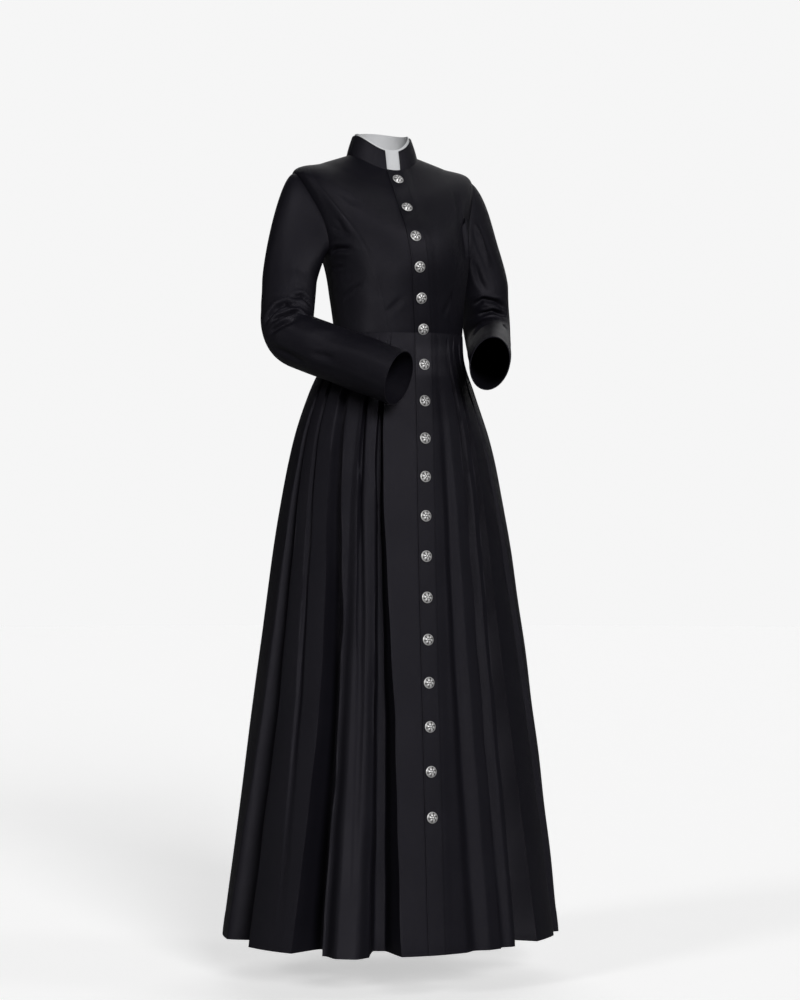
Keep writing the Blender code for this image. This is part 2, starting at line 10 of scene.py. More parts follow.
import bpy
import numpy as np
from bpy.props import FloatProperty, FloatVectorProperty, IntProperty, PointerProperty
from bpy.types import Operator, Panel, PropertyGroup
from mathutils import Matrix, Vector


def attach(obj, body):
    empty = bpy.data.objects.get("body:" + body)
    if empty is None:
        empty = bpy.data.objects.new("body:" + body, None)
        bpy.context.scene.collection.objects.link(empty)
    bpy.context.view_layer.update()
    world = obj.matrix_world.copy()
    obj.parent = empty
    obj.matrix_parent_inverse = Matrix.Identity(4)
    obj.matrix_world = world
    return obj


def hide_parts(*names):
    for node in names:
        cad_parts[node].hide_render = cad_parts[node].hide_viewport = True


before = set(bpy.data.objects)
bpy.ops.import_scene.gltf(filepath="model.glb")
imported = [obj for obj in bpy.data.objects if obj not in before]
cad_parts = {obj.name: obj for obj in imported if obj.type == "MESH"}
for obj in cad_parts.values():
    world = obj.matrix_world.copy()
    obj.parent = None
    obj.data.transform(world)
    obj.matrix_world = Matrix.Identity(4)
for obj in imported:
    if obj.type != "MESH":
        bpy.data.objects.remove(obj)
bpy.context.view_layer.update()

bl_info = {
    "name": "Cassock",
    "version": (1, 0, 0),
    "blender": (4, 5, 0),
    "location": "3D View > Sidebar > Cassock",
    "description": "Builds a buttoned cassock with a pleated skirt, its finishes and a plain stage",
    "category": "Object",
}

# ---- ring sections. Angle 0 is the centre front, +90 the wearer's left side, 180 the centre back.
SECTION = "z_front z_side z_back x_front x_right x_left y_front y_side y_back".split()
BODICE_SECTIONS = [  # the ring number counts from 0 at the waist to 6 at the neck
    (-0.330, -0.330, -0.330, 0.022, -0.104, 0.136, -0.138, -0.040, 0.058),
    (-0.268, -0.268, -0.268, 0.013, -0.112, 0.138, -0.149, -0.044, 0.070),
    (-0.203, -0.205, -0.208, 0.004, -0.121, 0.146, -0.160, -0.042, 0.086),
    (-0.150, -0.128, -0.142, 0.000, -0.146, 0.156, -0.148, -0.020, 0.098),
    (-0.102, -0.038, -0.080, 0.000, -0.173, 0.173, -0.112, 0.000, 0.098),
    (-0.060, -0.017, -0.030, 0.000, -0.118, 0.118, -0.080, 0.002, 0.086),
    (-0.032, 0.000, 0.008, 0.000, -0.066, 0.066, -0.058, 0.001, 0.060),
]
SKIRT_SECTIONS = [
    (-0.330, -0.330, -0.330, 0.022, -0.104, 0.136, -0.138, -0.040, 0.058),
    (-0.380, -0.380, -0.380, 0.019, -0.124, 0.139, -0.148, -0.038, 0.084),
    (-0.437, -0.437, -0.437, 0.015, -0.149, 0.160, -0.159, -0.036, 0.110),
    (-0.520, -0.520, -0.520, 0.009, -0.175, 0.191, -0.175, -0.032, 0.136),
    (-0.630, -0.630, -0.630, 0.002, -0.195, 0.219, -0.193, -0.026, 0.166),
    (-0.795, -0.795, -0.795, -0.005, -0.215, 0.249, -0.215, -0.016, 0.202),
    (-1.016, -1.016, -1.016, -0.010, -0.240, 0.283, -0.239, -0.006, 0.238),
    (-1.236, -1.236, -1.236, -0.013, -0.267, 0.314, -0.259, 0.001, 0.266),
    (-1.4235, -1.4235, -1.4235, -0.015, -0.291, 0.337, -0.276, 0.005, 0.288),
]
COLLAR_RIM = (0.004, 0.037, 0.045, 0.000, -0.054, 0.054, -0.049, 0.002, 0.052)
NECK_RING = len(BODICE_SECTIONS) - 1
WAIST_Z = -0.330
HEM_Z = -1.4235

# ---- making up
SEAM_DIP = 0.0003
SEAM_DIP_WIDTH = 0.0032
SEAM_HOLD = 0.03
LAP_LIFT = 0.0017
LAP_OVER = 0.015
LAP_UNDER = 0.012
LAP_FLAT = 0.016
LAP_RAMP = 0.036
FACING_STEP = 0.0006
FACING_EDGE = 0.0016
HEM_DEEP = 0.038
HEM_STEP = 0.0005
HEM_EDGE = 0.003
HEM_ROUND = 0.002
CUFF_DEEP = 0.030
CUFF_STEP = 0.0004
CUFF_EDGE = 0.002
CUFF_ROUND = 0.0016
CUFF_STILL = 0.25  # how far creases are let in at the cuff's very edge, before they are eased
SHARP_DEG = 55.0

# ---- collar: how far up the stand the band's foot is, in front and, past a turn, at the sides and back
COLLAR_RISE = 0.036
COLLAR_BELLY = 0.0007
COLLAR_ROLL = 0.0005
COLLAR_ROLL_WIDTH = 0.0014
NOTCH_HALF = 0.0135
BAND_FOOT = 0.02
BAND_FOOT_SIDES = 0.30
BAND_FOOT_FROM_DEG = 24.0
BAND_FOOT_TURN_DEG = 20.0
BAND_INSET = 0.0034
BAND_PROUD = 0.003

# ---- seams of the bodice
UNDERARM_RING = 2.25
SHOULDER_RING = 4.0
LEAST_STEP = 0.02
ARMHOLE_MIDDLE = (UNDERARM_RING + SHOULDER_RING) / 2
ARMHOLE_HALF = (SHOULDER_RING - UNDERARM_RING) / 2
ARMHOLE_FRONT_DEG = 19.0
ARMHOLE_BACK_DEG = 16.0
PRINCESS_STOPS = [(0.0, 30.0), (1.0, 33.0), (2.0, 39.0), (3.0, 46.0), (4.0, 62.0), (4.7, 87.0)]
SIDE_DEG = 90.0
BACK_DEG = 180.0
FULL_DEG = 360.0

# ---- buttons
FIRST_BUTTON_Z = -0.0498
BODICE_BUTTONS = 6
BODICE_PITCH = 0.0548
SKIRT_BUTTONS = 12
SKIRT_PITCH = 0.0641
SKIRT_PITCH_GROWTH = 0.0014
BUTTON_ROUND = 64
BUTTON_SHARP_DEG = 60.0
FACE_SHARE = 0.96
FACE_CIRCLES = 24
FACE_FALL = 0.78
BUTTON_EDGE = ((0.985, 0.19), (1.0, 0.13), (1.0, 0.07), (0.96, 0.0))  # shares of the radius and rise
BUTTON_BACK_SHARE = 0.55
EDGE_HOLLOW = 0.4
BACK_HOLLOW = 0.8
PETALS = 6
PETAL_SWIRL = 1.1
ROPE_TURNS = 32
ROPE_SWIRL = 9.0
PULL_WIDTH = 0.0135
PULL_DEPTH = 0.0007
STITCH_PROUD = 0.15  # the share of its width by which a thread's middle stands off the cloth

# ---- folds of the skirt: the angles of a valley's two edges and its depth, each at the waist, half way
# down and at the hem, then the shares of its width that its flanks take, and how crisp the edge at each
# side is, from 0, rounded, to 1, pressed. A depth less than 0 stands out.
FOLD = (
    "from_waist from_mid from_hem to_waist to_mid to_hem depth_waist depth_mid depth_hem "
    "soft_from soft_to crisp_from crisp_to"
).split()
FOLDS = [
    (-84.0, -86.0, -96.0, -80.0, -74.0, -76.0, 0.0117, 0.034, 0.062, 0.55, 0.18, 0.3, 0.9),
    (-71.5, -64.0, -62.0, -68.0, -60.0, -58.0, 0.0140, 0.005, 0.000, 0.30, 0.60, 0.9, 0.4),
    (-58.0, -50.0, -54.0, -50.0, -41.0, -42.0, 0.0140, 0.036, 0.065, 0.40, 0.16, 0.4, 0.9),
    (-38.5, -33.0, -31.0, -35.5, -29.0, -28.0, 0.0140, 0.005, 0.000, 0.25, 0.60, 0.9, 0.4),
    (-41.0, -39.5, -41.0, -29.0, -24.5, -23.8, -0.0026, -0.010, -0.023, 0.35, 0.30, 0.0, 0.0),
    (-29.0, -25.0, -24.5, -26.0, -17.5, -12.5, 0.0140, 0.042, 0.068, 0.16, 0.42, 0.9, 0.6),
    (9.0, 9.0, 10.0, 18.0, 17.0, 19.0, 0.0000, 0.010, 0.010, 0.50, 0.50, 0.0, 0.0),
    (25.5, 22.5, 23.0, 29.0, 27.0, 27.5, 0.0140, 0.016, 0.007, 0.30, 0.55, 0.9, 0.5),
    (34.0, 30.0, 29.0, 37.0, 36.0, 41.0, 0.0140, 0.036, 0.073, 0.22, 0.28, 0.9, 0.9),
    (46.0, 50.0, 55.0, 49.0, 57.0, 64.0, 0.0137, 0.023, 0.034, 0.26, 0.40, 0.9, 0.7),
    (58.0, 70.0, 72.0, 61.0, 76.0, 80.0, 0.0111, 0.000, 0.000, 0.50, 0.50, 0.6, 0.3),
    (80.0, 87.0, 86.0, 84.0, 97.0, 102.0, 0.0123, 0.023, 0.049, 0.35, 0.45, 0.8, 0.2),
    (98.0, 102.0, 104.0, 101.0, 105.0, 107.0, 0.0094, 0.000, 0.000, 0.50, 0.50, 0.6, 0.4),
    (118.0, 120.0, 119.0, 122.0, 131.0, 134.0, 0.0105, 0.022, 0.046, 0.40, 0.35, 0.3, 0.7),
    (134.0, 141.0, 142.0, 137.0, 146.0, 148.0, 0.0094, 0.007, 0.004, 0.50, 0.50, 0.5, 0.5),
    (150.0, 152.0, 151.0, 154.0, 162.0, 165.0, 0.0105, 0.020, 0.044, 0.45, 0.35, 0.2, 0.8),
    (176.0, 177.0, 178.0, 184.0, 186.0, 190.0, 0.0105, 0.015, 0.031, 0.50, 0.50, 0.5, 0.5),
    (203.0, 202.0, 203.0, 207.0, 212.0, 217.0, 0.0105, 0.022, 0.047, 0.35, 0.45, 0.8, 0.2),
    (222.0, 221.0, 224.0, 225.0, 225.0, 228.0, 0.0094, 0.000, 0.000, 0.50, 0.50, 0.5, 0.5),
    (238.0, 231.0, 231.0, 242.0, 243.0, 246.0, 0.0105, 0.020, 0.044, 0.35, 0.40, 0.7, 0.3),
]
MID_FALL = 0.50
TOP_FALL = 0.08
SIDE_SEAM_LEFT = 111.0
SIDE_SEAM_RIGHT = -105.0
BACK_SEAM = 171.0
LASTING_DEPTH = 0.012  # a fold that is as deep as this at the hem leads the columns
LASTING_CLEAR_DEG = 2.0  # how far from a panel's edge it has to be for that
HEIGHT_CROWDING = 1.15  # over 1, rows lie closer together at the waist

# ---- sleeves
ARM_TOP_WIDE = 0.049
ARM_TOP_DEEP = 0.051
CAP_REACH_TOP = 0.085
CAP_REACH_UNDER = 0.020
CAP_FALL_TOP = 0.110
CAP_FALL_UNDER = 0.030
CAP_DROP = 0.2
ELBOW_BEND = 0.058
TAPER_STAGES = (3.0, 5.0, 4.0)  # how the taper is shared out over the upper arm, the bend and the forearm
SLEEVES = {
    "right": {
        "side": -1,
        "top": (-0.192, -0.024, -0.238),
        "corner": (-0.212, -0.060, -0.336),
        "wrist": (-0.068, -0.240, -0.417),
        "cuff_wide": 0.045,
        "cuff_deep": 0.050,
    },
    "left": {
        "side": 1,
        "top": (0.199, -0.004, -0.238),
        "corner": (0.223, 0.016, -0.330),
        "wrist": (0.108, -0.238, -0.388),
        "cuff_wide": 0.035,
        "cuff_deep": 0.049,
    },
}

# ---- creases: half the trough's width, its depth (less than 0 for a ridge), then the points it runs
# through. The values below the table say how many times as deep they are cut, and how they fade.
CREASES = {
    "bodice_side_front_right": [
        (0.0070, 0.0030, (-0.124, -0.057, -0.186), (-0.121, -0.076, -0.180), (-0.105, -0.106, -0.181)),
        (0.0050, 0.0018, (-0.120, -0.048, -0.211), (-0.108, -0.086, -0.212)),
        (0.0060, 0.0014, (-0.105, -0.077, -0.269), (-0.099, -0.092, -0.257), (-0.088, -0.111, -0.244)),
        (0.0080, 0.0014, (-0.131, -0.078, -0.141), (-0.104, -0.108, -0.158)),
        (0.0080, 0.0012, (-0.125, -0.086, -0.128), (-0.112, -0.100, -0.150)),
    ],
    "bodice_side_front_left": [
        (0.0080, -0.0040, (0.118, -0.096, -0.110), (0.121, -0.102, -0.148), (0.122, -0.106, -0.202)),
        (0.0060, 0.0016, (0.136, -0.056, -0.188), (0.124, -0.084, -0.196)),
        (0.0060, 0.0012, (0.126, -0.070, -0.262), (0.112, -0.098, -0.246)),
    ],
    "bodice_front_right": [
        (0.0100, 0.0010, (-0.118, -0.082, -0.078), (-0.092, -0.106, -0.104)),
        (0.0090, 0.0008, (-0.050, -0.132, -0.300), (-0.020, -0.150, -0.268)),
    ],
    "bodice_front_left": [
        (0.0080, 0.0014, (0.112, -0.080, -0.070), (0.106, -0.108, -0.130)),
        (0.0090, 0.0010, (0.062, -0.136, -0.300), (0.088, -0.134, -0.250)),
    ],
    "bodice_back": [
        (0.0100, 0.0022, (-0.120, 0.060, -0.160), (-0.090, 0.078, -0.182), (-0.050, 0.088, -0.190)),
        (0.0100, 0.0022, (0.128, 0.060, -0.165), (0.096, 0.078, -0.190), (0.058, 0.088, -0.196)),
        (0.0110, 0.0016, (-0.104, 0.040, -0.240), (-0.072, 0.064, -0.252), (-0.030, 0.074, -0.250)),
        (0.0110, 0.0016, (0.126, 0.034, -0.238), (0.092, 0.060, -0.256), (0.050, 0.072, -0.258)),
        (0.0120, 0.0012, (-0.080, 0.050, -0.300), (-0.020, 0.066, -0.292), (0.060, 0.062, -0.300)),
    ],
    "sleeve_right": [
        (0.0065, 0.0050, (-0.254, -0.066, -0.316), (-0.237, -0.083, -0.286),
         (-0.220, -0.091, -0.280), (-0.203, -0.097, -0.285)),
        (0.0050, 0.0044, (-0.246, -0.084, -0.312), (-0.229, -0.098, -0.302),
         (-0.203, -0.102, -0.294), (-0.179, -0.110, -0.304)),
        (0.0060, 0.0030, (-0.212, -0.088, -0.270), (-0.189, -0.088, -0.266), (-0.168, -0.078, -0.286)),
        (0.0150, -0.0016, (-0.206, -0.076, -0.170), (-0.200, -0.084, -0.240)),
        (0.0070, 0.0030, (-0.250, -0.080, -0.334), (-0.234, -0.102, -0.320), (-0.212, -0.113, -0.313)),
        (0.0150, -0.0014, (-0.196, -0.140, -0.336), (-0.150, -0.164, -0.340)),
        (0.0100, 0.0018, (-0.246, -0.072, -0.357), (-0.230, -0.102, -0.370), (-0.200, -0.135, -0.389)),
        (0.0100, 0.0016, (-0.210, -0.150, -0.372), (-0.160, -0.190, -0.384)),
        (0.0100, 0.0020, (-0.256, -0.030, -0.230), (-0.258, -0.040, -0.290)),
        (0.0090, 0.0030, (-0.246, 0.004, -0.260), (-0.228, 0.016, -0.296), (-0.196, 0.004, -0.330)),
        (0.0090, 0.0026, (-0.240, 0.020, -0.215), (-0.212, 0.030, -0.240), (-0.180, 0.024, -0.262)),
        (0.0090, 0.0022, (-0.205, 0.030, -0.170), (-0.180, 0.026, -0.195)),
    ],
    "sleeve_left": [
        (0.0065, 0.0048, (0.170, -0.036, -0.270), (0.183, -0.049, -0.260),
         (0.209, -0.050, -0.264), (0.230, -0.042, -0.276)),
        (0.0055, 0.0042, (0.176, -0.036, -0.288), (0.202, -0.047, -0.281), (0.230, -0.044, -0.288)),
        (0.0080, -0.0028, (0.137, -0.095, -0.332), (0.154, -0.087, -0.314), (0.178, -0.093, -0.302)),
        (0.0060, 0.0024, (0.150, -0.078, -0.320), (0.168, -0.078, -0.300)),
        (0.0070, -0.0028, (0.160, -0.055, -0.122), (0.179, -0.059, -0.165), (0.192, -0.057, -0.194)),
        (0.0080, 0.0020, (0.158, -0.052, -0.180), (0.172, -0.054, -0.225), (0.186, -0.054, -0.246)),
        (0.0080, 0.0026, (0.250, -0.040, -0.300), (0.226, -0.070, -0.306), (0.196, -0.084, -0.318)),
        (0.0100, 0.0018, (0.244, -0.060, -0.330), (0.210, -0.110, -0.345), (0.190, -0.150, -0.352)),
        (0.0090, 0.0030, (0.246, 0.030, -0.250), (0.226, 0.044, -0.286), (0.196, 0.036, -0.318)),
        (0.0090, 0.0026, (0.246, 0.030, -0.205), (0.218, 0.046, -0.228), (0.184, 0.040, -0.254)),
        (0.0090, 0.0020, (0.210, 0.040, -0.160), (0.182, 0.036, -0.188)),
    ],
}
SLEEVE_CREASE = 1.9
BODICE_CREASE = 1.5
BACK_CREASE = 1.0
CREASE_END = 0.25
CREASE_FADE = 0.4
CREASE_RIDGE = 1.3

# ---- unevenness of the cloth: the length of its slow waves, their height and the seed they are drawn with
UNEVENNESS = {
    "bodice_front_left": (0.12, 0.0012, 12),
    "bodice_front_right": (0.12, 0.0012, 10),
    "bodice_side_front_left": (0.10, 0.0014, 22),
    "bodice_side_front_right": (0.10, 0.0014, 20),
    "bodice_back": (0.14, 0.0020, 31),
    "sleeve_right": (0.09, 0.0026, 41),
    "sleeve_left": (0.09, 0.0026, 41),
    "skirt_front_left": (0.16, 0.0030, 52),
    "skirt_front_right": (0.16, 0.0030, 50),
    "skirt_back_left": (0.16, 0.0030, 62),
    "skirt_back_right": (0.16, 0.0030, 60),
}
WAVES = 5  # how many slow waves it is made of
SLOW_START = 0.25  # the share of the skirt's fall over which they come in
FRONT_STILL = 0.005  # the skirt's front is even this near to its middle
FRONT_WAKES = 0.05  # and its waves come in over this distance

# ---- how finely the cloth is cut
LOW_ROWS = 54
ARM_ROWS = 48
HIGH_ROWS = 44
FRONT_COLUMNS = 72
SIDE_FRONT_COLUMNS = 36
BACK_COLUMNS = 120
SKIRT_ROWS = 120
SKIRT_COLUMN_DEG = 0.55
LAP_COLUMNS = 26
COLLAR_COLUMNS = 144
COLLAR_ROWS = 16
SLEEVE_COLUMNS = 96
CAP_ROWS = 34
ARM_STEPS = 22
BEND_ROWS = 40
FOREARM_ROWS = 50

made = {}  # what each piece leaves for the buttons and stitches that go on it


# ---- curves and rings


def ease(x):
    x = np.clip(x, 0.0, 1.0)
    return x * x * (3.0 - 2.0 * x)


def smooth_value(places, values, at):
    """A smooth curve through values at places, which rise; straight on beyond both ends."""
    places, values, at = (np.asarray(v, dtype=float) for v in (places, values, at))
    last = len(places) - 1
    low = np.maximum(np.arange(last + 1) - 1, 0)
    high = np.minimum(np.arange(last + 1) + 1, last)
    slopes = (values[high] - values[low]) / (places[high] - places[low])
    i = np.clip(np.searchsorted(places, at, side="right") - 1, 0, last - 1)
    span = places[i + 1] - places[i]
    u = np.clip((at - places[i]) / span, 0.0, 1.0)
    inside = (
        (1.0 + 2.0 * u) * (1.0 - u) ** 2 * values[i]
        + u * u * (3.0 - 2.0 * u) * values[i + 1]
        + span * slopes[i] * u * (1.0 - u) ** 2
        - span * slopes[i + 1] * u * u * (1.0 - u)
    )
    before = np.minimum(at - places[0], 0.0) * slopes[0]
    beyond = np.maximum(at - places[last], 0.0) * slopes[last]
    return inside + before + beyond


def section_at(rows, places, at):
    return {name: smooth_value(places, column, at) for name, column in zip(SECTION, zip(*rows))}


def ring_points(section, deg):
    """Points at angles round a section: an ellipse in four quarters, with its height eased between."""
    turn = np.radians(deg)
    s, c = np.sin(turn), np.cos(turn)
    side = np.where(s > 0, section["x_left"], section["x_right"])
    x = section["x_front"] + (side - section["x_front"]) * np.abs(s)
    end = np.where(c > 0, section["y_front"], section["y_back"])
    z_end = np.where(c > 0, section["z_front"], section["z_back"])
    y = section["y_side"] + (end - section["y_side"]) * np.abs(c)
    z = section["z_side"] + (z_end - section["z_side"]) * c * c
    return np.stack(np.broadcast_arrays(x, y, z), axis=-1)


def bodice_points(deg, ring):
    return ring_points(section_at(BODICE_SECTIONS, np.arange(NECK_RING + 1.0), ring), deg)


def fall_at(z):
    return (WAIST_Z - z) / (WAIST_Z - HEM_Z)


def fold_at(fold, fall):
    """A fold's two edges and its depth at a share of the skirt's fall, and its row as names."""
    row = dict(zip(FOLD, fold))
    places = (TOP_FALL, MID_FALL, 1.0)

    def at(name):
        values = [row[f"{name}_{stage}"] for stage in ("waist", "mid", "hem")]
        return smooth_value(places, values, np.maximum(fall, TOP_FALL))

    return at("from"), at("to"), at("depth") * ease(fall / TOP_FALL), row


def flank(x, crisp):
    """From 0 at a fold's edge to 1 at its floor: a rounded edge, or a pressed one."""
    x = np.clip(x, 0.0, 1.0)
    return (1.0 - crisp) * ease(x) + crisp * (1.0 - (1.0 - x) ** 2)


def fold_depth(deg, fall):
    """How far in the folds take the cloth at each angle and share of the skirt's fall."""
    total = np.zeros(np.broadcast(deg, fall).shape)
    for fold in FOLDS:
        start, end, depth, row = fold_at(fold, fall)
        off = (deg - (start + end) / 2 + BACK_DEG) % FULL_DEG - BACK_DEG
        share = off / (end - start) + 0.5
        first = flank(share / row["soft_from"], row["crisp_from"])
        second = flank((1.0 - share) / row["soft_to"], row["crisp_to"])
        total = total + depth * first * second
    return total


def skirt_points(deg, z):
    section = section_at(SKIRT_SECTIONS, [-row[0] for row in SKIRT_SECTIONS], -np.asarray(z, dtype=float))
    turn = np.radians(deg)
    away = np.stack(np.broadcast_arrays(np.sin(turn), -np.cos(turn), 0.0 * turn), axis=-1)
    depth = fold_depth(deg, fall_at(z))
    return ring_points(section, deg) - away * depth[..., None]


def between(start, end, count):
    """Rows of values that run evenly from start to end, in so many columns."""
    return start + (end - start) * np.linspace(0.0, 1.0, count)[None, :]


def degrees_for(surface, deg, at, distance):
    """The turn that covers a distance on a surface, at an angle and a height."""
    step = 0.5
    run = np.linalg.norm(surface(deg + step, at) - surface(deg - step, at), axis=-1)
    return 2.0 * step * distance / run


# ---- the cloth's relief


def normals_of(points, closed=False):
    """The outward direction at each point of a grid whose rows run up and columns towards +X in front."""
    if closed:
        across = np.roll(points, -1, axis=1) - np.roll(points, 1, axis=1)
    else:
        across = np.gradient(points, axis=1)
    along = np.gradient(points, axis=0)
    normal = np.cross(across, along)
    length = np.linalg.norm(normal, axis=-1, keepdims=True)
    return normal / np.maximum(length, 1e-12)


def run_across(points):
    steps = np.linalg.norm(np.diff(points, axis=1), axis=-1)
    return np.concatenate([np.zeros((len(points), 1)), np.cumsum(steps, axis=1)], axis=1)


def run_along(points):
    steps = np.linalg.norm(np.diff(points, axis=0), axis=-1)
    return np.concatenate([np.zeros((1, points.shape[1])), np.cumsum(steps, axis=0)], axis=0)


def seam_dip(points, left=False, right=False, low=False, high=False):
    """The cloth turns in a little where it runs into a seam."""
    across, along = run_across(points), run_along(points)
    dip = np.zeros(across.shape)
    for wanted, distance in (
        (left, across),
        (right, across[:, -1:] - across),
        (low, along),
        (high, along[-1:, :] - along),
    ):
        if wanted:
            dip = np.maximum(dip, np.exp(-((distance / SEAM_DIP_WIDTH) ** 2)))
    return -SEAM_DIP * dip


def edge_hold(points, left=True, right=True):
    """Near its seams a panel keeps to the shared line, so that neighbours meet."""
    across = run_across(points)
    near = np.full(across.shape, SEAM_HOLD)
    if left:
        near = np.minimum(near, across)
    if right:
        near = np.minimum(near, across[:, -1:] - across)
    return ease(near / SEAM_HOLD)


def crease_lift(points, creases):
    """Soft troughs along short paths, each with a low ridge on both sides."""
    lift = np.zeros(points.shape[:-1])
    for width, depth, *path in creases:
        path = np.array(path)
        lengths = np.linalg.norm(np.diff(path, axis=0), axis=1)
        total = lengths.sum()
        nearest = np.full(lift.shape, 1e9)
        place = np.zeros(lift.shape)
        run = 0.0
        for a, b, length in zip(path, path[1:], lengths):
            way = (b - a) / length
            t = np.clip((points - a) @ way, 0.0, length)
            off = np.linalg.norm(points - a - t[..., None] * way, axis=-1)
            closer = off < nearest
            nearest = np.where(closer, off, nearest)
            place = np.where(closer, run + t, place)
            run += length
        ends = np.minimum(place, total - place) / total
        q = (nearest / width) ** 2
        fade = ease(CREASE_END + ends / CREASE_FADE)
        lift -= depth * fade * (1.0 - CREASE_RIDGE * q) * np.exp(-q)
    return lift


def slow_waves(points, name):
    """Unevenness of the named piece: a few slow waves across it, the same on every run."""
    size, amount, seed = UNEVENNESS[name]
    rng = np.random.default_rng(seed)
    lift = np.zeros(points.shape[:-1])
    for _ in range(WAVES):
        way = rng.normal(size=3)
        way[2] *= 0.5
        way /= np.linalg.norm(way)
        length = size * rng.uniform(0.6, 1.6)
        lift += np.sin(points @ way * math.tau / length + rng.uniform(0, math.tau))
    return lift * amount / WAVES


# ---- walls of cloth


def grid_mesh(name, points, closed=False):
    """A mesh on a grid of points, with a UV map in metres of cloth."""
    rows, columns = points.shape[:2]
    across, along = run_across(points), run_along(points)
    across = across - across[:, -1:] / 2
    count = columns if closed else columns - 1
    i = np.arange(count)
    j = (i + 1) % columns
    low = np.arange(rows - 1)[:, None] * columns
    faces = np.stack([low + i, low + j, low + columns + j, low + columns + i], axis=-1).reshape(-1, 4)
    mesh = bpy.data.meshes.new(name)
    mesh.from_pydata(points.reshape(-1, 3).tolist(), [], faces.tolist())
    if closed:
        width = across[:, -1] - across[:, 0] + np.linalg.norm(points[:, 0] - points[:, -1], axis=-1)
        u = np.concatenate([across, (across[:, 0] + width)[:, None]], axis=1)
        v = np.concatenate([along, along[:, :1]], axis=1)
    else:
        u, v = across, along
    corners = [(0, 0), (0, 1), (1, 1), (1, 0)]
    r = np.arange(rows - 1)[:, None]
    uv = np.stack(
        [np.stack([u[r + dr, i + dc], v[r + dr, i + dc]], axis=-1) for dr, dc in corners],
        axis=2,
    )
    layer = mesh.uv_layers.new(name="UVMap")
    layer.data.foreach_set("uv", uv.reshape(-1).astype(np.float32))
    mesh.validate()
    return mesh


def baked(obj):
    """The object's mesh with its modifiers worked in, and the modifiers gone."""
    graph = bpy.context.evaluated_depsgraph_get()
    mesh = bpy.data.meshes.new_from_object(obj.evaluated_get(graph), depsgraph=graph)
    obj.modifiers.clear()
    old = obj.data
    obj.data = mesh
    mesh.name = obj.name
    if isinstance(old, bpy.types.Mesh) and old.users == 0:
        bpy.data.meshes.remove(old)
    return obj


def cloth_wall(name, points, thickness, material, closed=False):
    """A wall of cloth: the outer face is the grid, and the thickness goes inwards."""
    obj = bpy.data.objects.new(name, grid_mesh(name, points, closed))
    bpy.context.scene.collection.objects.link(obj)
    obj.data.materials.append(bpy.data.materials[material])
    solid = obj.modifiers.new("cloth", "SOLIDIFY")
    solid.thickness = thickness
    solid.offset = -1.0
    baked(obj)
    obj.data.shade_smooth()
    obj.data.set_sharp_from_angle(angle=math.radians(SHARP_DEG))
    return obj


def finish_piece(obj, node):
    """Put a piece on the body in place of the solid it stands for."""
    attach(obj, "root")
    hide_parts(node)


# ---- bodice


def armhole_deg(ring, depth):
    """Where the armhole cuts a ring: a half ellipse let into the side by a depth in degrees."""
    share = np.clip((ring - ARMHOLE_MIDDLE) / ARMHOLE_HALF, -1.0, 1.0)
    return SIDE_DEG - depth * np.sqrt(1.0 - share * share)


def princess_deg(ring):
    """Where the seam from the waist to the armhole crosses a ring."""
    rings, degrees = zip(*PRINCESS_STOPS)
    return np.minimum(smooth_value(rings, degrees, ring), SIDE_DEG)


def bodice_rings(last):
    """The ring numbers of the rows, closer together where the armhole turns."""
    low = np.linspace(0.0, UNDERARM_RING, LOW_ROWS, endpoint=False)
    arm = ARMHOLE_MIDDLE - ARMHOLE_HALF * np.cos(np.linspace(0.0, math.pi, ARM_ROWS + 1))
    high = np.linspace(SHOULDER_RING, NECK_RING, HIGH_ROWS + 1)[1:]
    rings = np.concatenate([low, arm, high])
    return np.append(rings[rings < last - LEAST_STEP], last)


def lap_relief(distance):
    """The left front stands off where it laps, and steps down where its facing ends."""
    lift = LAP_LIFT * ease((LAP_RAMP - distance) / (LAP_RAMP - LAP_FLAT))
    return lift + FACING_STEP * ease((LAP_FLAT + FACING_EDGE - distance) / FACING_EDGE)


def button_pull(points, distance):
    """Each button draws the cloth round it in a little."""
    lift = np.zeros(distance.shape)
    for z in button_heights():
        near = (points[..., 2] - z) ** 2 / PULL_WIDTH**2
        lift -= PULL_DEPTH * np.exp(-(distance**2) / PULL_WIDTH**2 - near)
    return lift


def bodice_relief(points, name, strength=BODICE_CREASE):
    """The creases and unevenness of a piece of the bodice."""
    creases = strength * crease_lift(points, CREASES[name])
    return creases + slow_waves(points, name) * edge_hold(points)


def bodice_front(side, sizes):
    name = "bodice_front_left" if side > 0 else "bodice_front_right"
    ring = bodice_rings(float(NECK_RING))[:, None]
    reach = -LAP_OVER if side > 0 else -LAP_UNDER
    start = degrees_for(bodice_points, 0.0 * ring, ring, reach)
    deg = between(start, princess_deg(ring), FRONT_COLUMNS)
    distance = deg / degrees_for(bodice_points, 0.0 * ring, ring, 1.0)
    ring = np.broadcast_to(ring, deg.shape)
    points = bodice_points(side * deg, ring)
    if side < 0:
        points, distance = points[:, ::-1], distance[:, ::-1]
    normal = normals_of(points)
    lift = bodice_relief(points, name)
    lift += seam_dip(points, left=side < 0, right=side > 0, low=True, high=True)
    if side > 0:
        lift += lap_relief(distance) + button_pull(points, distance)
    points = points + normal * lift[..., None]
    made[name] = (points, distance, normal)
    return cloth_wall(f"{name}_cloth", points, sizes.cloth, "gabardine_twill")


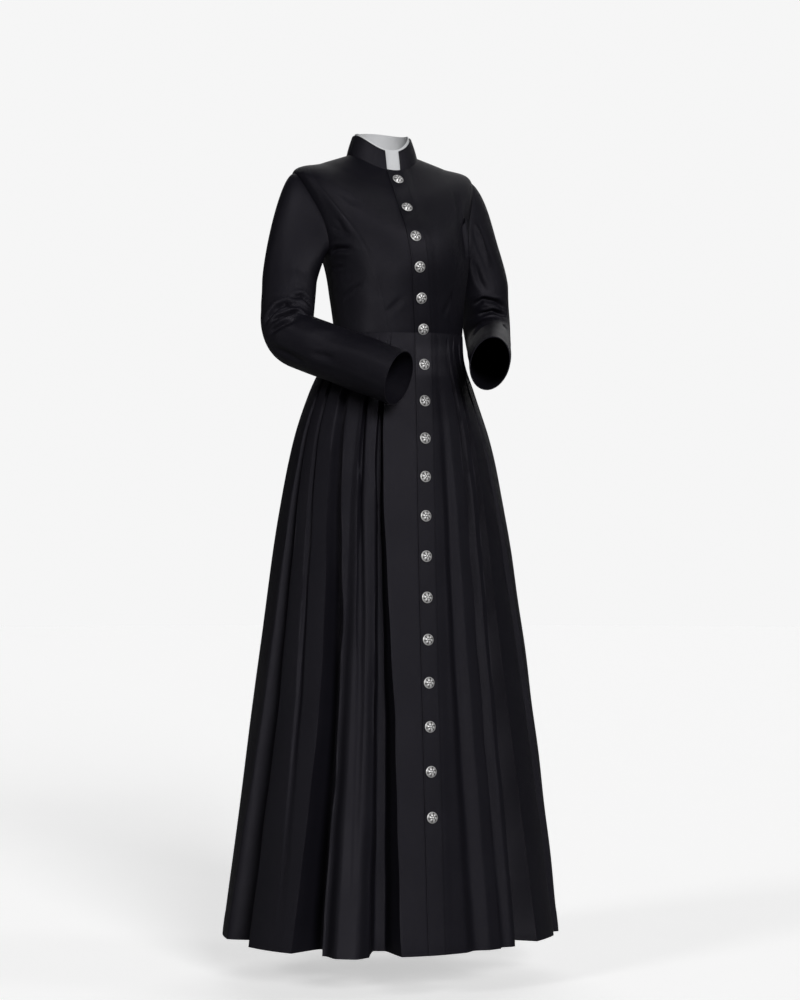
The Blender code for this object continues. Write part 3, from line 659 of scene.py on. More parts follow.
def bodice_side_front(side, sizes):
    name = "bodice_side_front_left" if side > 0 else "bodice_side_front_right"
    ring = bodice_rings(PRINCESS_STOPS[-1][0])[:, None]
    deg = between(princess_deg(ring), armhole_deg(ring, ARMHOLE_FRONT_DEG), SIDE_FRONT_COLUMNS)
    ring = np.broadcast_to(ring, deg.shape)
    points = bodice_points(side * deg, ring)
    if side < 0:
        points = points[:, ::-1]
    lift = bodice_relief(points, name) + seam_dip(points, left=True, right=True, low=True)
    points = points + normals_of(points) * lift[..., None]
    return cloth_wall(f"{name}_cloth", points, sizes.cloth, "gabardine_twill")


def bodice_back(sizes):
    ring = bodice_rings(float(NECK_RING))[:, None]
    start = BACK_DEG - armhole_deg(ring, ARMHOLE_BACK_DEG)
    deg = between(start, FULL_DEG - start, BACK_COLUMNS)
    ring = np.broadcast_to(ring, deg.shape)
    points = bodice_points(deg, ring)
    lift = bodice_relief(points, "bodice_back", BACK_CREASE)
    lift += seam_dip(points, left=True, right=True, low=True, high=True)
    points = points + normals_of(points) * lift[..., None]
    return cloth_wall("bodice_back_cloth", points, sizes.cloth, "gabardine_twill")


# ---- collar


def collar_ring(share, inset=0.0):
    """The collar's ring at a share of its height, which may change from row to row."""
    base = dict(zip(SECTION, BODICE_SECTIONS[NECK_RING]))
    rim = dict(zip(SECTION, COLLAR_RIM))
    ring = {name: base[name] + (rim[name] - base[name]) * share for name in SECTION}
    for name in ("x_right", "y_front"):
        ring[name] = ring[name] + inset
    for name in ("x_left", "y_back"):
        ring[name] = ring[name] - inset
    return ring


def collar_stand(sizes):
    share = np.linspace(0.0, 1.0, COLLAR_ROWS)[:, None]
    ring = collar_ring(share)
    reach = np.degrees(np.arcsin(NOTCH_HALF / ring["x_left"]))
    deg = between(reach, FULL_DEG - reach, COLLAR_COLUMNS)
    points = ring_points(ring, deg)
    normal = normals_of(points)
    across, along = run_across(points), run_along(points)
    rim = along[-1:, :] - along
    ends = np.minimum(across, across[:, -1:] - across)
    rolls = [np.exp(-((edge / COLLAR_ROLL_WIDTH) ** 2)) for edge in (rim, ends)]
    lift = COLLAR_BELLY * np.sin(math.pi * share) - COLLAR_ROLL * sum(rolls)
    points = points + normal * lift[..., None]
    made["collar_stand"] = (points, normal)
    return cloth_wall("collar_stand_cloth", points, sizes.collar, "gabardine_twill")


def collar_band(sizes):
    proud = 1.0 + BAND_PROUD / COLLAR_RISE
    deg = np.linspace(0.0, FULL_DEG, COLLAR_COLUMNS, endpoint=False)[None, :]
    off = np.minimum(deg, FULL_DEG - deg)
    aside = ease((off - BAND_FOOT_FROM_DEG) / BAND_FOOT_TURN_DEG)
    foot = BAND_FOOT + (BAND_FOOT_SIDES - BAND_FOOT) * aside
    share = foot + (proud - foot) * np.linspace(0.0, 1.0, COLLAR_ROWS)[:, None]
    points = ring_points(collar_ring(share, BAND_INSET), deg)
    return cloth_wall("collar_band_cloth", points, sizes.band, "band_cotton", closed=True)


# ---- sleeves


def armhole_loop(side, turn):
    """The line that the sleeve is sewn to, from the shoulder round the front."""
    s = np.sin(turn)
    deg = SIDE_DEG - np.where(s > 0, ARMHOLE_FRONT_DEG, ARMHOLE_BACK_DEG) * s
    return bodice_points(side * deg, ARMHOLE_MIDDLE + ARMHOLE_HALF * np.cos(turn))


def arm_rings(shape):
    """The centre, direction and half sizes of the rings down the arm, round the bend to the cuff."""
    top, corner, wrist = (Vector(shape[k]) for k in ("top", "corner", "wrist"))
    upper = (corner - top).normalized()
    fore = (wrist - corner).normalized()
    bend = upper.angle(fore)
    cut = ELBOW_BEND * math.tan(bend / 2)
    start = corner - upper * cut
    end = corner + fore * cut
    axis = upper.cross(fore).normalized()
    centre = start + axis.cross(upper) * ELBOW_BEND
    above, round_bend, below = TAPER_STAGES
    stations = []
    for k in range(ARM_STEPS):
        stations.append((top + (start - top) * k / ARM_STEPS, upper, above * k / ARM_STEPS))
    for k in range(BEND_ROWS + 1):
        turn = bend * k / BEND_ROWS
        arm = start - centre
        spun = arm * math.cos(turn) + axis.cross(arm) * math.sin(turn)
        heading = upper * math.cos(turn) + axis.cross(upper) * math.sin(turn)
        stations.append((centre + spun, heading, above + round_bend * k / BEND_ROWS))
    for k in range(1, FOREARM_ROWS + 1):
        place = end + (wrist - end) * k / FOREARM_ROWS
        stations.append((place, fore, above + round_bend + below * k / FOREARM_ROWS))
    rings = []
    for place, heading, stage in stations:
        share = stage / sum(TAPER_STAGES)
        wide = ARM_TOP_WIDE + (shape["cuff_wide"] - ARM_TOP_WIDE) * share
        deep = ARM_TOP_DEEP + (shape["cuff_deep"] - ARM_TOP_DEEP) * share
        rings.append((place, heading, wide, deep))
    return rings


def arm_rows(rings, side, turn):
    """The rows of points round the arm, without a twist from one to the next."""
    cos, sin = np.cos(turn)[:, None], np.sin(turn)[:, None]
    outer = Vector((side, 0.0, 0.0))
    rows = []
    for place, heading, wide, deep in rings:
        outer = (outer - heading * outer.dot(heading)).normalized()
        front = np.array(heading.cross(outer).normalized()) * side
        out = np.array(outer)
        rows.append(np.array(place) + (out[None, :] * wide * cos + front[None, :] * deep * sin))
    return rows


def cap_rows(loop, first_row, heading, side, turn):
    """The rows from the armhole to the arm's first one, leaving outwards and arriving along the arm."""
    high = ((1.0 + np.cos(turn)) / 2)[:, None]
    reach = CAP_REACH_UNDER + (CAP_REACH_TOP - CAP_REACH_UNDER) * high
    fall = CAP_FALL_UNDER + (CAP_FALL_TOP - CAP_FALL_UNDER) * high
    leave = np.concatenate([side * reach, 0.0 * reach, -fall * CAP_DROP], axis=1)
    arrive = np.array(heading)[None, :] * fall
    rows = []
    for step in range(CAP_ROWS):
        u = step / CAP_ROWS
        rows.append(
            loop * (1.0 + 2.0 * u) * (1.0 - u) ** 2
            + leave * u * (1.0 - u) ** 2
            + first_row * u * u * (3.0 - 2.0 * u)
            - arrive * u * u * (1.0 - u)
        )
    return rows


def sleeve(which, sizes):
    name = f"sleeve_{which}"
    shape = SLEEVES[which]
    side = shape["side"]
    rings = arm_rings(shape)
    turn = math.tau * np.arange(SLEEVE_COLUMNS) / SLEEVE_COLUMNS
    arm = arm_rows(rings, side, turn)
    cap = cap_rows(armhole_loop(side, turn), arm[0], rings[0][1], side, turn)
    points = np.array(cap + arm)
    if side < 0:
        points = points[:, ::-1]  # so that the faces point outwards
    points = sleeve_relief(name, points)
    return cloth_wall(f"{name}_cloth", points, sizes.cloth, "gabardine_twill", closed=True)


def turned_edge(away, deep, step, edge, rounding):
    """A turned-up edge: the doubled cloth stands a little proud, and its fold is rounded."""
    return step * ease((deep - away) / edge) - step * np.exp(-((away / rounding) ** 2))


def sleeve_relief(name, points):
    """The sleeve's creases, unevenness, seam and cuff."""
    normal = normals_of(points, closed=True)
    along = run_along(points)
    cuff = along[-1:, :] - along
    lift = SLEEVE_CREASE * crease_lift(points, CREASES[name]) + slow_waves(points, name)
    lift = lift * ease(along / SEAM_HOLD) * ease(CUFF_STILL + cuff / (2.0 * CUFF_DEEP))
    lift -= SEAM_DIP * np.exp(-((along / SEAM_DIP_WIDTH) ** 2))
    lift += turned_edge(cuff, CUFF_DEEP, CUFF_STEP, CUFF_EDGE, CUFF_ROUND)
    return points + normal * lift[..., None]


# ---- skirt


def fold_edges(fall, start, end):
    """The edges of the valleys that last to the hem, in order; these carry the columns with them."""
    edges = []
    for fold in FOLDS:
        row = dict(zip(FOLD, fold))
        if row["depth_hem"] < LASTING_DEPTH:
            continue
        low, high, _, _ = fold_at(fold, fall)
        for deg, hem_deg in ((low, row["from_hem"]), (high, row["to_hem"])):
            for turn in (0.0, -FULL_DEG, FULL_DEG):
                if start + LASTING_CLEAR_DEG < hem_deg + turn < end - LASTING_CLEAR_DEG:
                    edges.append((hem_deg + turn, float(deg) + turn))
    return sorted(edges)


def skirt_tracks(start, end):
    """The columns at the hem, as angles: one on each fold's edge, and even ones between."""
    marks = [start] + [hem for hem, _ in fold_edges(1.0, start, end)] + [end]
    tracks = [np.array([start])]
    for low, high in zip(marks, marks[1:]):
        count = max(1, round((high - low) / SKIRT_COLUMN_DEG))
        tracks.append(np.linspace(low, high, count + 1)[1:])
    return np.concatenate(tracks)


def skirt_heights():
    """The heights of the skirt's rows, from the hem up."""
    k = np.arange(SKIRT_ROWS, -1, -1) / SKIRT_ROWS
    return WAIST_Z + (HEM_Z - WAIST_Z) * k**HEIGHT_CROWDING


def skirt_angles(low, high, low_at, high_at, heights):
    """The angles of all columns at all heights; low_at and high_at are the panel's edges at each height."""
    tracks = skirt_tracks(low, high)
    rows = []
    for z, first, last in zip(heights, low_at, high_at):
        edges = fold_edges(float(fall_at(z)), low, high)
        hem = [low] + [a for a, _ in edges] + [high]
        here = [first] + [b for _, b in edges] + [last]
        rows.append(np.interp(tracks, hem, here))
    return np.array(rows)


def skirt_front(side, sizes):
    name = "skirt_front_left" if side > 0 else "skirt_front_right"
    seam = SIDE_SEAM_LEFT if side > 0 else SIDE_SEAM_RIGHT
    z = skirt_heights()
    ones = np.ones(z.shape)
    ramp = degrees_for(skirt_points, 0.0 * ones, z, LAP_RAMP)
    reach = -LAP_OVER if side > 0 else -LAP_UNDER
    start = degrees_for(skirt_points, 0.0 * ones, z, reach)
    floor = float(ramp[0])  # the lap's end at the hem, where the columns' angles are counted
    lap = between(start[:, None], ramp[:, None], LAP_COLUMNS + 1)[:, :-1]
    if side > 0:
        rest = skirt_angles(floor, seam, ramp, seam * ones, z)
        deg = np.concatenate([lap, rest], axis=1)
    else:
        rest = skirt_angles(seam, -floor, seam * ones, -ramp, z)
        deg = np.concatenate([rest, -lap[:, ::-1]], axis=1)
    z = np.broadcast_to(z[:, None], deg.shape)
    points = skirt_points(deg, z)
    distance = side * deg / degrees_for(skirt_points, 0.0 * z[:, :1], z[:, :1], 1.0)
    points = skirt_front_relief(points, z, distance, side, name)
    made[name] = (points, distance, normals_of(points))
    return cloth_wall(f"{name}_cloth", points, sizes.cloth, "gabardine_twill")


def skirt_front_relief(points, z, distance, side, name):
    """The relief of a front: its waves stay clear of the buttons' line."""
    normal = normals_of(points)
    lift = slow_waves(points, name) * ease(fall_at(z) / SLOW_START)
    lift *= ease((np.abs(distance) - FRONT_STILL) / FRONT_WAKES)
    lift *= edge_hold(points, left=side < 0, right=side > 0)
    lift += hem_relief(z)
    lift += seam_dip(points, left=side < 0, right=side > 0, high=True)
    if side > 0:
        lift += lap_relief(distance) + button_pull(points, distance)
    return points + normal * lift[..., None]


def hem_relief(z):
    return turned_edge(z - HEM_Z, HEM_DEEP, HEM_STEP, HEM_EDGE, HEM_ROUND)


def skirt_back(side, sizes):
    name = "skirt_back_left" if side > 0 else "skirt_back_right"
    low = SIDE_SEAM_LEFT if side > 0 else BACK_SEAM
    high = BACK_SEAM if side > 0 else FULL_DEG + SIDE_SEAM_RIGHT
    z = skirt_heights()
    ones = np.ones(z.shape)
    deg = skirt_angles(low, high, low * ones, high * ones, z)
    z = np.broadcast_to(z[:, None], deg.shape)
    points = skirt_points(deg, z)
    lift = slow_waves(points, name) * ease(fall_at(z) / SLOW_START) * edge_hold(points)
    lift += hem_relief(z) + seam_dip(points, left=True, right=True, high=True)
    points = points + normals_of(points) * lift[..., None]
    return cloth_wall(f"{name}_cloth", points, sizes.cloth, "gabardine_twill")


# ---- buttons


def button_heights():
    """The buttons' heights from the neck down; the gaps grow a little down the skirt."""
    heights = [FIRST_BUTTON_Z - BODICE_PITCH * k for k in range(BODICE_BUTTONS)]
    for k in range(SKIRT_BUTTONS):
        heights.append(heights[-1] - SKIRT_PITCH - SKIRT_PITCH_GROWTH * k)
    return heights


def line_on(name, distance):
    """The points and outward directions of a front along a line at a distance from the centre front."""
    points, run, normal = made[name]

    def across(grid):
        return np.array([[np.interp(distance, r, g[:, k]) for k in range(3)] for r, g in zip(run, grid)])

    return across(points), across(normal)


def place_on(name, distance, z):
    """The point and outward direction of a front on such a line, at a height."""
    line, ways = line_on(name, distance)
    point = np.array([np.interp(z, line[:, 2], line[:, k]) for k in range(3)])
    way = np.array([np.interp(z, line[:, 2], ways[:, k]) for k in range(3)])
    return Vector(point), Vector(way).normalized()


def face_relief(share, turn):
    """How high the button's face stands on a circle, from 0 in the hollows to 1 on boss, leaves and rim."""
    petal = np.abs(np.cos(turn * PETALS / 2 + PETAL_SWIRL * share)) ** 0.9
    boss = ease((0.20 - share) / 0.06)
    inside = ease((share - 0.24) / 0.05) * ease((0.84 - share) / 0.05)
    leaf = inside * (0.10 + 0.90 * petal * (1.0 - 0.3 * ease((share - 0.5) / 0.25)))
    rope = 0.75 + 0.25 * np.cos(turn * ROPE_TURNS + share * ROPE_SWIRL)
    rim = ease((share - 0.82) / 0.04) * rope
    return np.clip(boss + leaf + rim, 0.0, 1.0)


def button_mesh(look):
    """A domed button: a boss, six leaves with hollows between them and a roped rim, on a round shank."""
    turn = math.tau * np.arange(BUTTON_ROUND) / BUTTON_ROUND
    level = np.ones(BUTTON_ROUND)
    rows, hollows = [], []

    def circle(share, z, hollow):
        across = look.radius * share
        rows.append(np.stack([across * np.cos(turn), across * np.sin(turn), z * level], axis=-1))
        hollows.append(hollow * level)

    for share in np.linspace(0.0, FACE_SHARE, FACE_CIRCLES + 1)[1:]:
        high = face_relief(share, turn)
        dome = look.rise * (1.0 - FACE_FALL * share**2.2)
        circle(share, look.shank + dome + look.relief * (high - 1.0), 1.0 - high)
    for share, rise in BUTTON_EDGE:
        circle(share, look.shank + look.rise * rise, EDGE_HOLLOW)
    circle(BUTTON_BACK_SHARE, look.shank, BACK_HOLLOW)
    circle(look.shank_share, look.shank, BACK_HOLLOW)
    circle(look.shank_share, 0.0, BACK_HOLLOW)
    top, foot = (0.0, 0.0, look.shank + look.rise), (0.0, 0.0, 0.0)
    verts = [top, *np.array(rows).reshape(-1, 3).tolist(), foot]
    hollows = np.concatenate([[0.0], np.array(hollows).reshape(-1), [BACK_HOLLOW]])
    mesh = bpy.data.meshes.new("button")
    mesh.from_pydata(verts, [], circle_faces(len(rows), BUTTON_ROUND))
    mark = mesh.attributes.new("hollow", "FLOAT", "POINT")
    mark.data.foreach_set("value", hollows.astype(np.float32))
    mesh.shade_smooth()
    mesh.set_sharp_from_angle(angle=math.radians(BUTTON_SHARP_DEG))
    return mesh


def circle_faces(rows, count):
    """The faces between circles of points, closed by fans on a first point and on a last one."""
    first, last, foot = 1, 1 + (rows - 1) * count, 1 + rows * count
    faces = [(0, first + i, first + (i + 1) % count) for i in range(count)]
    for a in range(first, last, count):
        for i in range(count):
            j = (i + 1) % count
            faces.append((a + i, a + count + i, a + count + j, a + j))
    faces += [(last + i, foot, last + (i + 1) % count) for i in range(count)]
    return faces


# ---- stitches


def stitch_tree():
    """Geometry nodes that lay evenly spaced stitches along a line."""
    tree = bpy.data.node_groups.new("stitch_row", "GeometryNodeTree")
    face = tree.interface
    face.new_socket("Geometry", in_out="INPUT", socket_type="NodeSocketGeometry")
    for label, default in (("Spacing", 0.003), ("Length", 0.0022), ("Thickness", 0.0005)):
        socket = face.new_socket(label, in_out="INPUT", socket_type="NodeSocketFloat")
        socket.default_value = default
        socket.subtype = "DISTANCE"
    face.new_socket("Thread", in_out="INPUT", socket_type="NodeSocketMaterial")
    face.new_socket("Geometry", in_out="OUTPUT", socket_type="NodeSocketGeometry")
    new, link = tree.nodes.new, tree.links.new
    start, end = new("NodeGroupInput"), new("NodeGroupOutput")
    curve = new("GeometryNodeMeshToCurve")
    cut = new("GeometryNodeResampleCurve")
    cut.mode = "LENGTH"
    tangent = new("GeometryNodeInputTangent")
    align = new("FunctionNodeAlignRotationToVector")
    align.axis = "Z"
    bead = new("GeometryNodeMeshUVSphere")
    bead.inputs["Segments"].default_value = 5
    bead.inputs["Rings"].default_value = 4
    bead.inputs["Radius"].default_value = 0.5
    size = new("ShaderNodeCombineXYZ")
    shape = new("GeometryNodeTransform")
    lay = new("GeometryNodeInstanceOnPoints")
    real = new("GeometryNodeRealizeInstances")
    dye = new("GeometryNodeSetMaterial")
    link(start.outputs["Geometry"], curve.inputs["Mesh"])
    link(curve.outputs["Curve"], cut.inputs["Curve"])
    link(start.outputs["Spacing"], cut.inputs["Length"])
    link(cut.outputs["Curve"], lay.inputs["Points"])
    link(tangent.outputs["Tangent"], align.inputs["Vector"])
    link(align.outputs["Rotation"], lay.inputs["Rotation"])
    for axis, name in (("X", "Thickness"), ("Y", "Thickness"), ("Z", "Length")):
        link(start.outputs[name], size.inputs[axis])
    link(bead.outputs["Mesh"], shape.inputs["Geometry"])
    link(size.outputs["Vector"], shape.inputs["Scale"])
    link(shape.outputs["Geometry"], lay.inputs["Instance"])
    link(lay.outputs["Instances"], real.inputs["Geometry"])
    link(real.outputs["Geometry"], dye.inputs["Geometry"])
    link(start.outputs["Thread"], dye.inputs["Material"])
    link(dye.outputs["Geometry"], end.inputs["Geometry"])
    return tree


def stitched(name, lines, spacing, length, thickness):
    """Rows of stitches along lines of points, as one piece."""
    mesh = bpy.data.meshes.new(name)
    verts, edges = [], []
    for line in lines:
        base = len(verts)
        verts += [tuple(p) for p in line]
        edges += [(base + i, base + i + 1) for i in range(len(line) - 1)]
    mesh.from_pydata(verts, edges, [])
    obj = bpy.data.objects.new(name, mesh)
    bpy.context.scene.collection.objects.link(obj)
    tree = bpy.data.node_groups.get("stitch_row") or stitch_tree()
    sewn = obj.modifiers.new("stitches", "NODES")
    sewn.node_group = tree
    values = {"Spacing": spacing, "Length": length, "Thickness": thickness}
    for item in tree.interface.items_tree:
        if item.item_type == "SOCKET" and item.in_out == "INPUT":
            if item.name in values:
                sewn[item.identifier] = values[item.name]
            elif item.name == "Thread":
                sewn[item.identifier] = bpy.data.materials["sewing_thread"]
    baked(obj)
    obj.data.shade_smooth()
    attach(obj, "root")
    return obj


# ---- finishes


def shader_group(name, numbers, outputs):
    """A node group that reads a vector and some numbers and puts out some values."""
    tree = bpy.data.node_groups.new(name, "ShaderNodeTree")
    face = tree.interface
    face.new_socket("Vector", in_out="INPUT", socket_type="NodeSocketVector")
    for label, default in numbers:
        socket = face.new_socket(label, in_out="INPUT", socket_type="NodeSocketFloat")
        socket.default_value = default
    for label in outputs:
        face.new_socket(label, in_out="OUTPUT", socket_type="NodeSocketFloat")
    new = tree.nodes.new
    return tree, new("NodeGroupInput"), new("NodeGroupOutput")


def maths_in(tree):
    """A function that adds a step of arithmetic to a tree, on sockets or plain numbers."""

    def maths(operation, a, b=None, clamp=False):
        node = tree.nodes.new("ShaderNodeMath")
        node.operation = operation
        node.use_clamp = clamp
        for socket, value in zip(node.inputs, (a, b)):
            if isinstance(value, (int, float)):
                socket.default_value = value
            elif value is not None:
                tree.links.new(value, socket)
        return node.outputs[0]

    return maths


def weave_group():
    """A twill weave on a map in metres: its height, and the shade of its ribs."""
    numbers = (("Pitch", 0.0006), ("Slope", 1.6), ("Slub", 0.3))
    tree, start, end = shader_group("twill_weave", numbers, ("Height", "Shade"))
    new, link, maths = tree.nodes.new, tree.links.new, maths_in(tree)
    parts = new("ShaderNodeSeparateXYZ")
    link(start.outputs["Vector"], parts.inputs[0])
    slope = maths("MULTIPLY", parts.outputs["X"], start.outputs["Slope"])
    run = maths("ADD", slope, parts.outputs["Y"])
    phase = maths("MULTIPLY", maths("DIVIDE", run, start.outputs["Pitch"]), math.tau)
    rib = maths("MULTIPLY", maths("ADD", maths("SINE", phase), 1.0), 0.5)
    thread = maths("MULTIPLY", maths("DIVIDE", parts.outputs["X"], start.outputs["Pitch"]), math.tau * 1.6)
    warp = maths("MULTIPLY", maths("ADD", maths("SINE", thread), 1.0), 0.15)
    noise = new("ShaderNodeTexNoise")
    noise.inputs["Scale"].default_value = 900.0
    noise.inputs["Detail"].default_value = 2.0
    link(start.outputs["Vector"], noise.inputs["Vector"])
    slub = maths("MULTIPLY", noise.outputs["Fac"], start.outputs["Slub"])
    height = maths("ADD", maths("ADD", rib, warp), slub)
    link(height, end.inputs["Height"])
    link(rib, end.inputs["Shade"])


def unevenness_group():
    """Slow unevenness over a surface, from 0 to 1."""
    numbers = (("Scale", 18.0), ("Contrast", 1.6))
    tree, start, end = shader_group("unevenness", numbers, ("Mask",))
    link, maths = tree.links.new, maths_in(tree)
    noise = tree.nodes.new("ShaderNodeTexNoise")
    noise.inputs["Detail"].default_value = 4.0
    noise.inputs["Roughness"].default_value = 0.6
    link(start.outputs["Vector"], noise.inputs["Vector"])
    link(start.outputs["Scale"], noise.inputs["Scale"])
    centred = maths("SUBTRACT", noise.outputs["Fac"], 0.5)
    stretched = maths("MULTIPLY", centred, start.outputs["Contrast"])
    link(maths("ADD", stretched, 0.5, clamp=True), end.inputs["Mask"])


def placed(material, group, **values):
    """The named node group, placed in a material with its own values."""
    node = material.node_tree.nodes.new("ShaderNodeGroup")
    node.node_tree = bpy.data.node_groups[group]
    for name, value in values.items():
        node.inputs[name].default_value = value
    return node


def mixed(material, factor, low, high):
    """A colour between two, by a factor; each of them is a socket or a plain value."""
    node = material.node_tree.nodes.new("ShaderNodeMix")
    node.data_type = "RGBA"
    link = material.node_tree.links.new
    if isinstance(factor, float):
        node.inputs["Factor"].default_value = factor
    else:
        link(factor, node.inputs["Factor"])
    ends = [s for s in node.inputs if s.type == "RGBA"]
    for socket, colour in zip(ends, (low, high)):
        if isinstance(colour, bpy.types.NodeSocket):
            link(colour, socket)
        else:
            socket.default_value = (*colour, 1.0)
    return [s for s in node.outputs if s.type == "RGBA"][0]


def spanned(material, factor, low, high):
    """A value from low to high, as the factor goes from 0 to 1."""
    node = material.node_tree.nodes.new("ShaderNodeMapRange")
    node.inputs["To Min"].default_value = low
    node.inputs["To Max"].default_value = high
    material.node_tree.links.new(factor, node.inputs["Value"])
    return node.outputs["Result"]


def varied(material, factor, colour, by):
    """A colour that goes darker and lighter by a share, with the factor."""
    return mixed(material, factor, scaled(colour, 1.0 - by), scaled(colour, 1.0 + by))


def scaled(colour, by):
    return tuple(min(c * by, 1.0) for c in colour)


def new_material(name, scale, contrast):
    """A new material, its shader, its coordinates and the mask of its slow unevenness."""
    made_of = bpy.data.materials.new(name)
    made_of.use_nodes = True
    nodes = made_of.node_tree.nodes
    coords = nodes.new("ShaderNodeTexCoord")
    slow = placed(made_of, "unevenness", Scale=scale, Contrast=contrast)
    made_of.node_tree.links.new(coords.outputs["Object"], slow.inputs["Vector"])
    return made_of, nodes["Principled BSDF"], coords, slow.outputs["Mask"]


def set_inputs(shader, values):
    for name, value in values.items():
        shader.inputs[name].default_value = value


def cloth_material(name, colour, pitch, roughness, sheen, relief, specular):
    """Woven cloth: ribs in colour and height, and a slow change of colour and roughness."""
    made_of, shader, coords, mask = new_material(name, 14.0, 1.8)
    link = made_of.node_tree.links.new
    weave = placed(made_of, "twill_weave", Pitch=pitch)
    link(coords.outputs["UV"], weave.inputs["Vector"])
    even = varied(made_of, mask, colour, 0.14)
    ribs = varied(made_of, weave.outputs["Shade"], colour, 0.3)
    link(mixed(made_of, 0.4, even, ribs), shader.inputs["Base Color"])
    link(spanned(made_of, mask, roughness - 0.05, roughness + 0.05), shader.inputs["Roughness"])
    looks = {
        "Specular IOR Level": specular,
        "Specular Tint": (0.93, 0.89, 1.0, 1.0),
        "Sheen Weight": sheen,
        "Sheen Roughness": 0.45,
        "Sheen Tint": (0.80, 0.88, 1.0, 1.0),
    }
    set_inputs(shader, looks)
    bump = made_of.node_tree.nodes.new("ShaderNodeBump")
    set_inputs(bump, {"Strength": relief, "Distance": 0.0002})
    link(weave.outputs["Height"], bump.inputs["Height"])
    link(bump.outputs["Normal"], shader.inputs["Normal"])


def silver_material(colours):
    """Rubbed silver that has gone dark in the hollows."""
    made_of, shader, _, mask = new_material("worn_silver", 420.0, 2.0)
    nodes, link = made_of.node_tree.nodes, made_of.node_tree.links.new
    mark = nodes.new("ShaderNodeAttribute")
    mark.attribute_name = "hollow"
    deep = nodes.new("ShaderNodeMapRange")
    set_inputs(deep, {"From Min": 0.12, "From Max": 0.75})
    link(mark.outputs["Fac"], deep.inputs["Value"])
    metal = mixed(made_of, mask, scaled(colours.silver, 0.8), scaled(colours.silver, 1.15))
    face = mixed(made_of, deep.outputs["Result"], metal, tuple(colours.tarnish))
    link(face, shader.inputs["Base Color"])
    link(spanned(made_of, mask, 0.26, 0.44), shader.inputs["Roughness"])
    set_inputs(shader, {"Metallic": 0.35})


def plain_material(name, colour, roughness):
    made_of, shader, _, mask = new_material(name, 6.0, 1.0)
    link = made_of.node_tree.links.new
    link(varied(made_of, mask, colour, 0.02), shader.inputs["Base Color"])
    set_inputs(shader, {"Roughness": roughness, "Specular IOR Level": 0.2})
    return made_of


def floor_material(colour):
    """A pale floor that throws less light back onto the cloth than it shows."""
    made_of = plain_material("pale_floor", colour, 0.8)
    nodes, link = made_of.node_tree.nodes, made_of.node_tree.links.new
    shader = nodes["Principled BSDF"]
    set_inputs(shader, {"Emission Color": WHITE, "Emission Strength": 0.50})
    path = nodes.new("ShaderNodeLightPath")
    dim = nodes.new("ShaderNodeBsdfDiffuse")
    set_inputs(dim, {"Color": (*scaled(colour, 0.3), 1.0)})
    choose = nodes.new("ShaderNodeMixShader")
    link(path.outputs["Is Camera Ray"], choose.inputs["Fac"])
    link(dim.outputs["BSDF"], choose.inputs[1])
    link(shader.outputs["BSDF"], choose.inputs[2])
    link(choose.outputs[0], nodes["Material Output"].inputs["Surface"])
    return made_of


# ---- what a user would change


class CassockCloth(PropertyGroup):
    """Thicknesses of the cloth and size of its weave."""

    cloth: FloatProperty(
        name="Cloth", description="Thickness of the gabardine walls", default=0.0016, subtype="DISTANCE"
    )
    collar: FloatProperty(
        name="Collar",
        description="Thickness of the stiffened collar",
        default=0.0024,
        subtype="DISTANCE",
    )
    band: FloatProperty(
        name="Band", description="Thickness of the white collar band", default=0.0014, subtype="DISTANCE"
    )
    twill: FloatProperty(
        name="Twill", description="Distance between the twill's ribs", default=0.0007, subtype="DISTANCE"
    )


class CassockButtons(PropertyGroup):
    """Sizes of the buttons."""

    radius: FloatProperty(
        name="Radius", description="Half the width of a button", default=0.0102, subtype="DISTANCE"
    )
    rise: FloatProperty(
        name="Rise", description="Height of the dome above its back", default=0.0052, subtype="DISTANCE"
    )
    relief: FloatProperty(
        name="Relief",
        description="Depth of the hollows between leaves",
        default=0.0009,
        subtype="DISTANCE",
    )
    shank: FloatProperty(
        name="Shank",
        description="Height of the back above the cloth",
        default=0.0012,
        subtype="DISTANCE",
    )
    shank_share: FloatProperty(
        name="Shank width", description="Shank's share of the radius", default=0.32, subtype="FACTOR"
    )


class CassockStitches(PropertyGroup):
    """Sizes of the topstitching."""

    spacing: FloatProperty(
        name="Spacing", description="From one stitch to the next", default=0.0032, subtype="DISTANCE"
    )
    length: FloatProperty(
        name="Length", description="Length of a stitch", default=0.0024, subtype="DISTANCE"
    )
    thickness: FloatProperty(
        name="Thickness", description="Width of the thread", default=0.0005, subtype="DISTANCE"
    )
    inset: FloatProperty(
        name="Inset",
        description="From an edge to its row of stitches",
        default=0.003,
        subtype="DISTANCE",
    )


class CassockColours(PropertyGroup):
    """Colours of the finishes."""

    cloth: FloatVectorProperty(
        name="Cloth",
        description="Colour of the gabardine",
        default=(0.0064, 0.0060, 0.0094),
        subtype="COLOR",
        min=0,
        max=1,
    )
    thread: FloatVectorProperty(
        name="Thread",
        description="Colour of the sewing thread",
        default=(0.006, 0.006, 0.007),
        subtype="COLOR",
        min=0,
        max=1,
    )
    band: FloatVectorProperty(
        name="Band",
        description="Colour of the collar band",
        default=(0.80, 0.81, 0.83),
        subtype="COLOR",
        min=0,
        max=1,
    )
    silver: FloatVectorProperty(
        name="Silver",
        description="Colour of the buttons' raised metal",
        default=(0.95, 0.93, 0.93),
        subtype="COLOR",
        min=0,
        max=1,
    )
    tarnish: FloatVectorProperty(
        name="Tarnish",
        description="Colour in the buttons' hollows",
        default=(0.030, 0.027, 0.025),
        subtype="COLOR",
        min=0,
        max=1,
    )
    floor: FloatVectorProperty(
        name="Floor",
        description="Colour of the floor",
        default=(0.96, 0.96, 0.96),
        subtype="COLOR",
        min=0,
        max=1,
    )


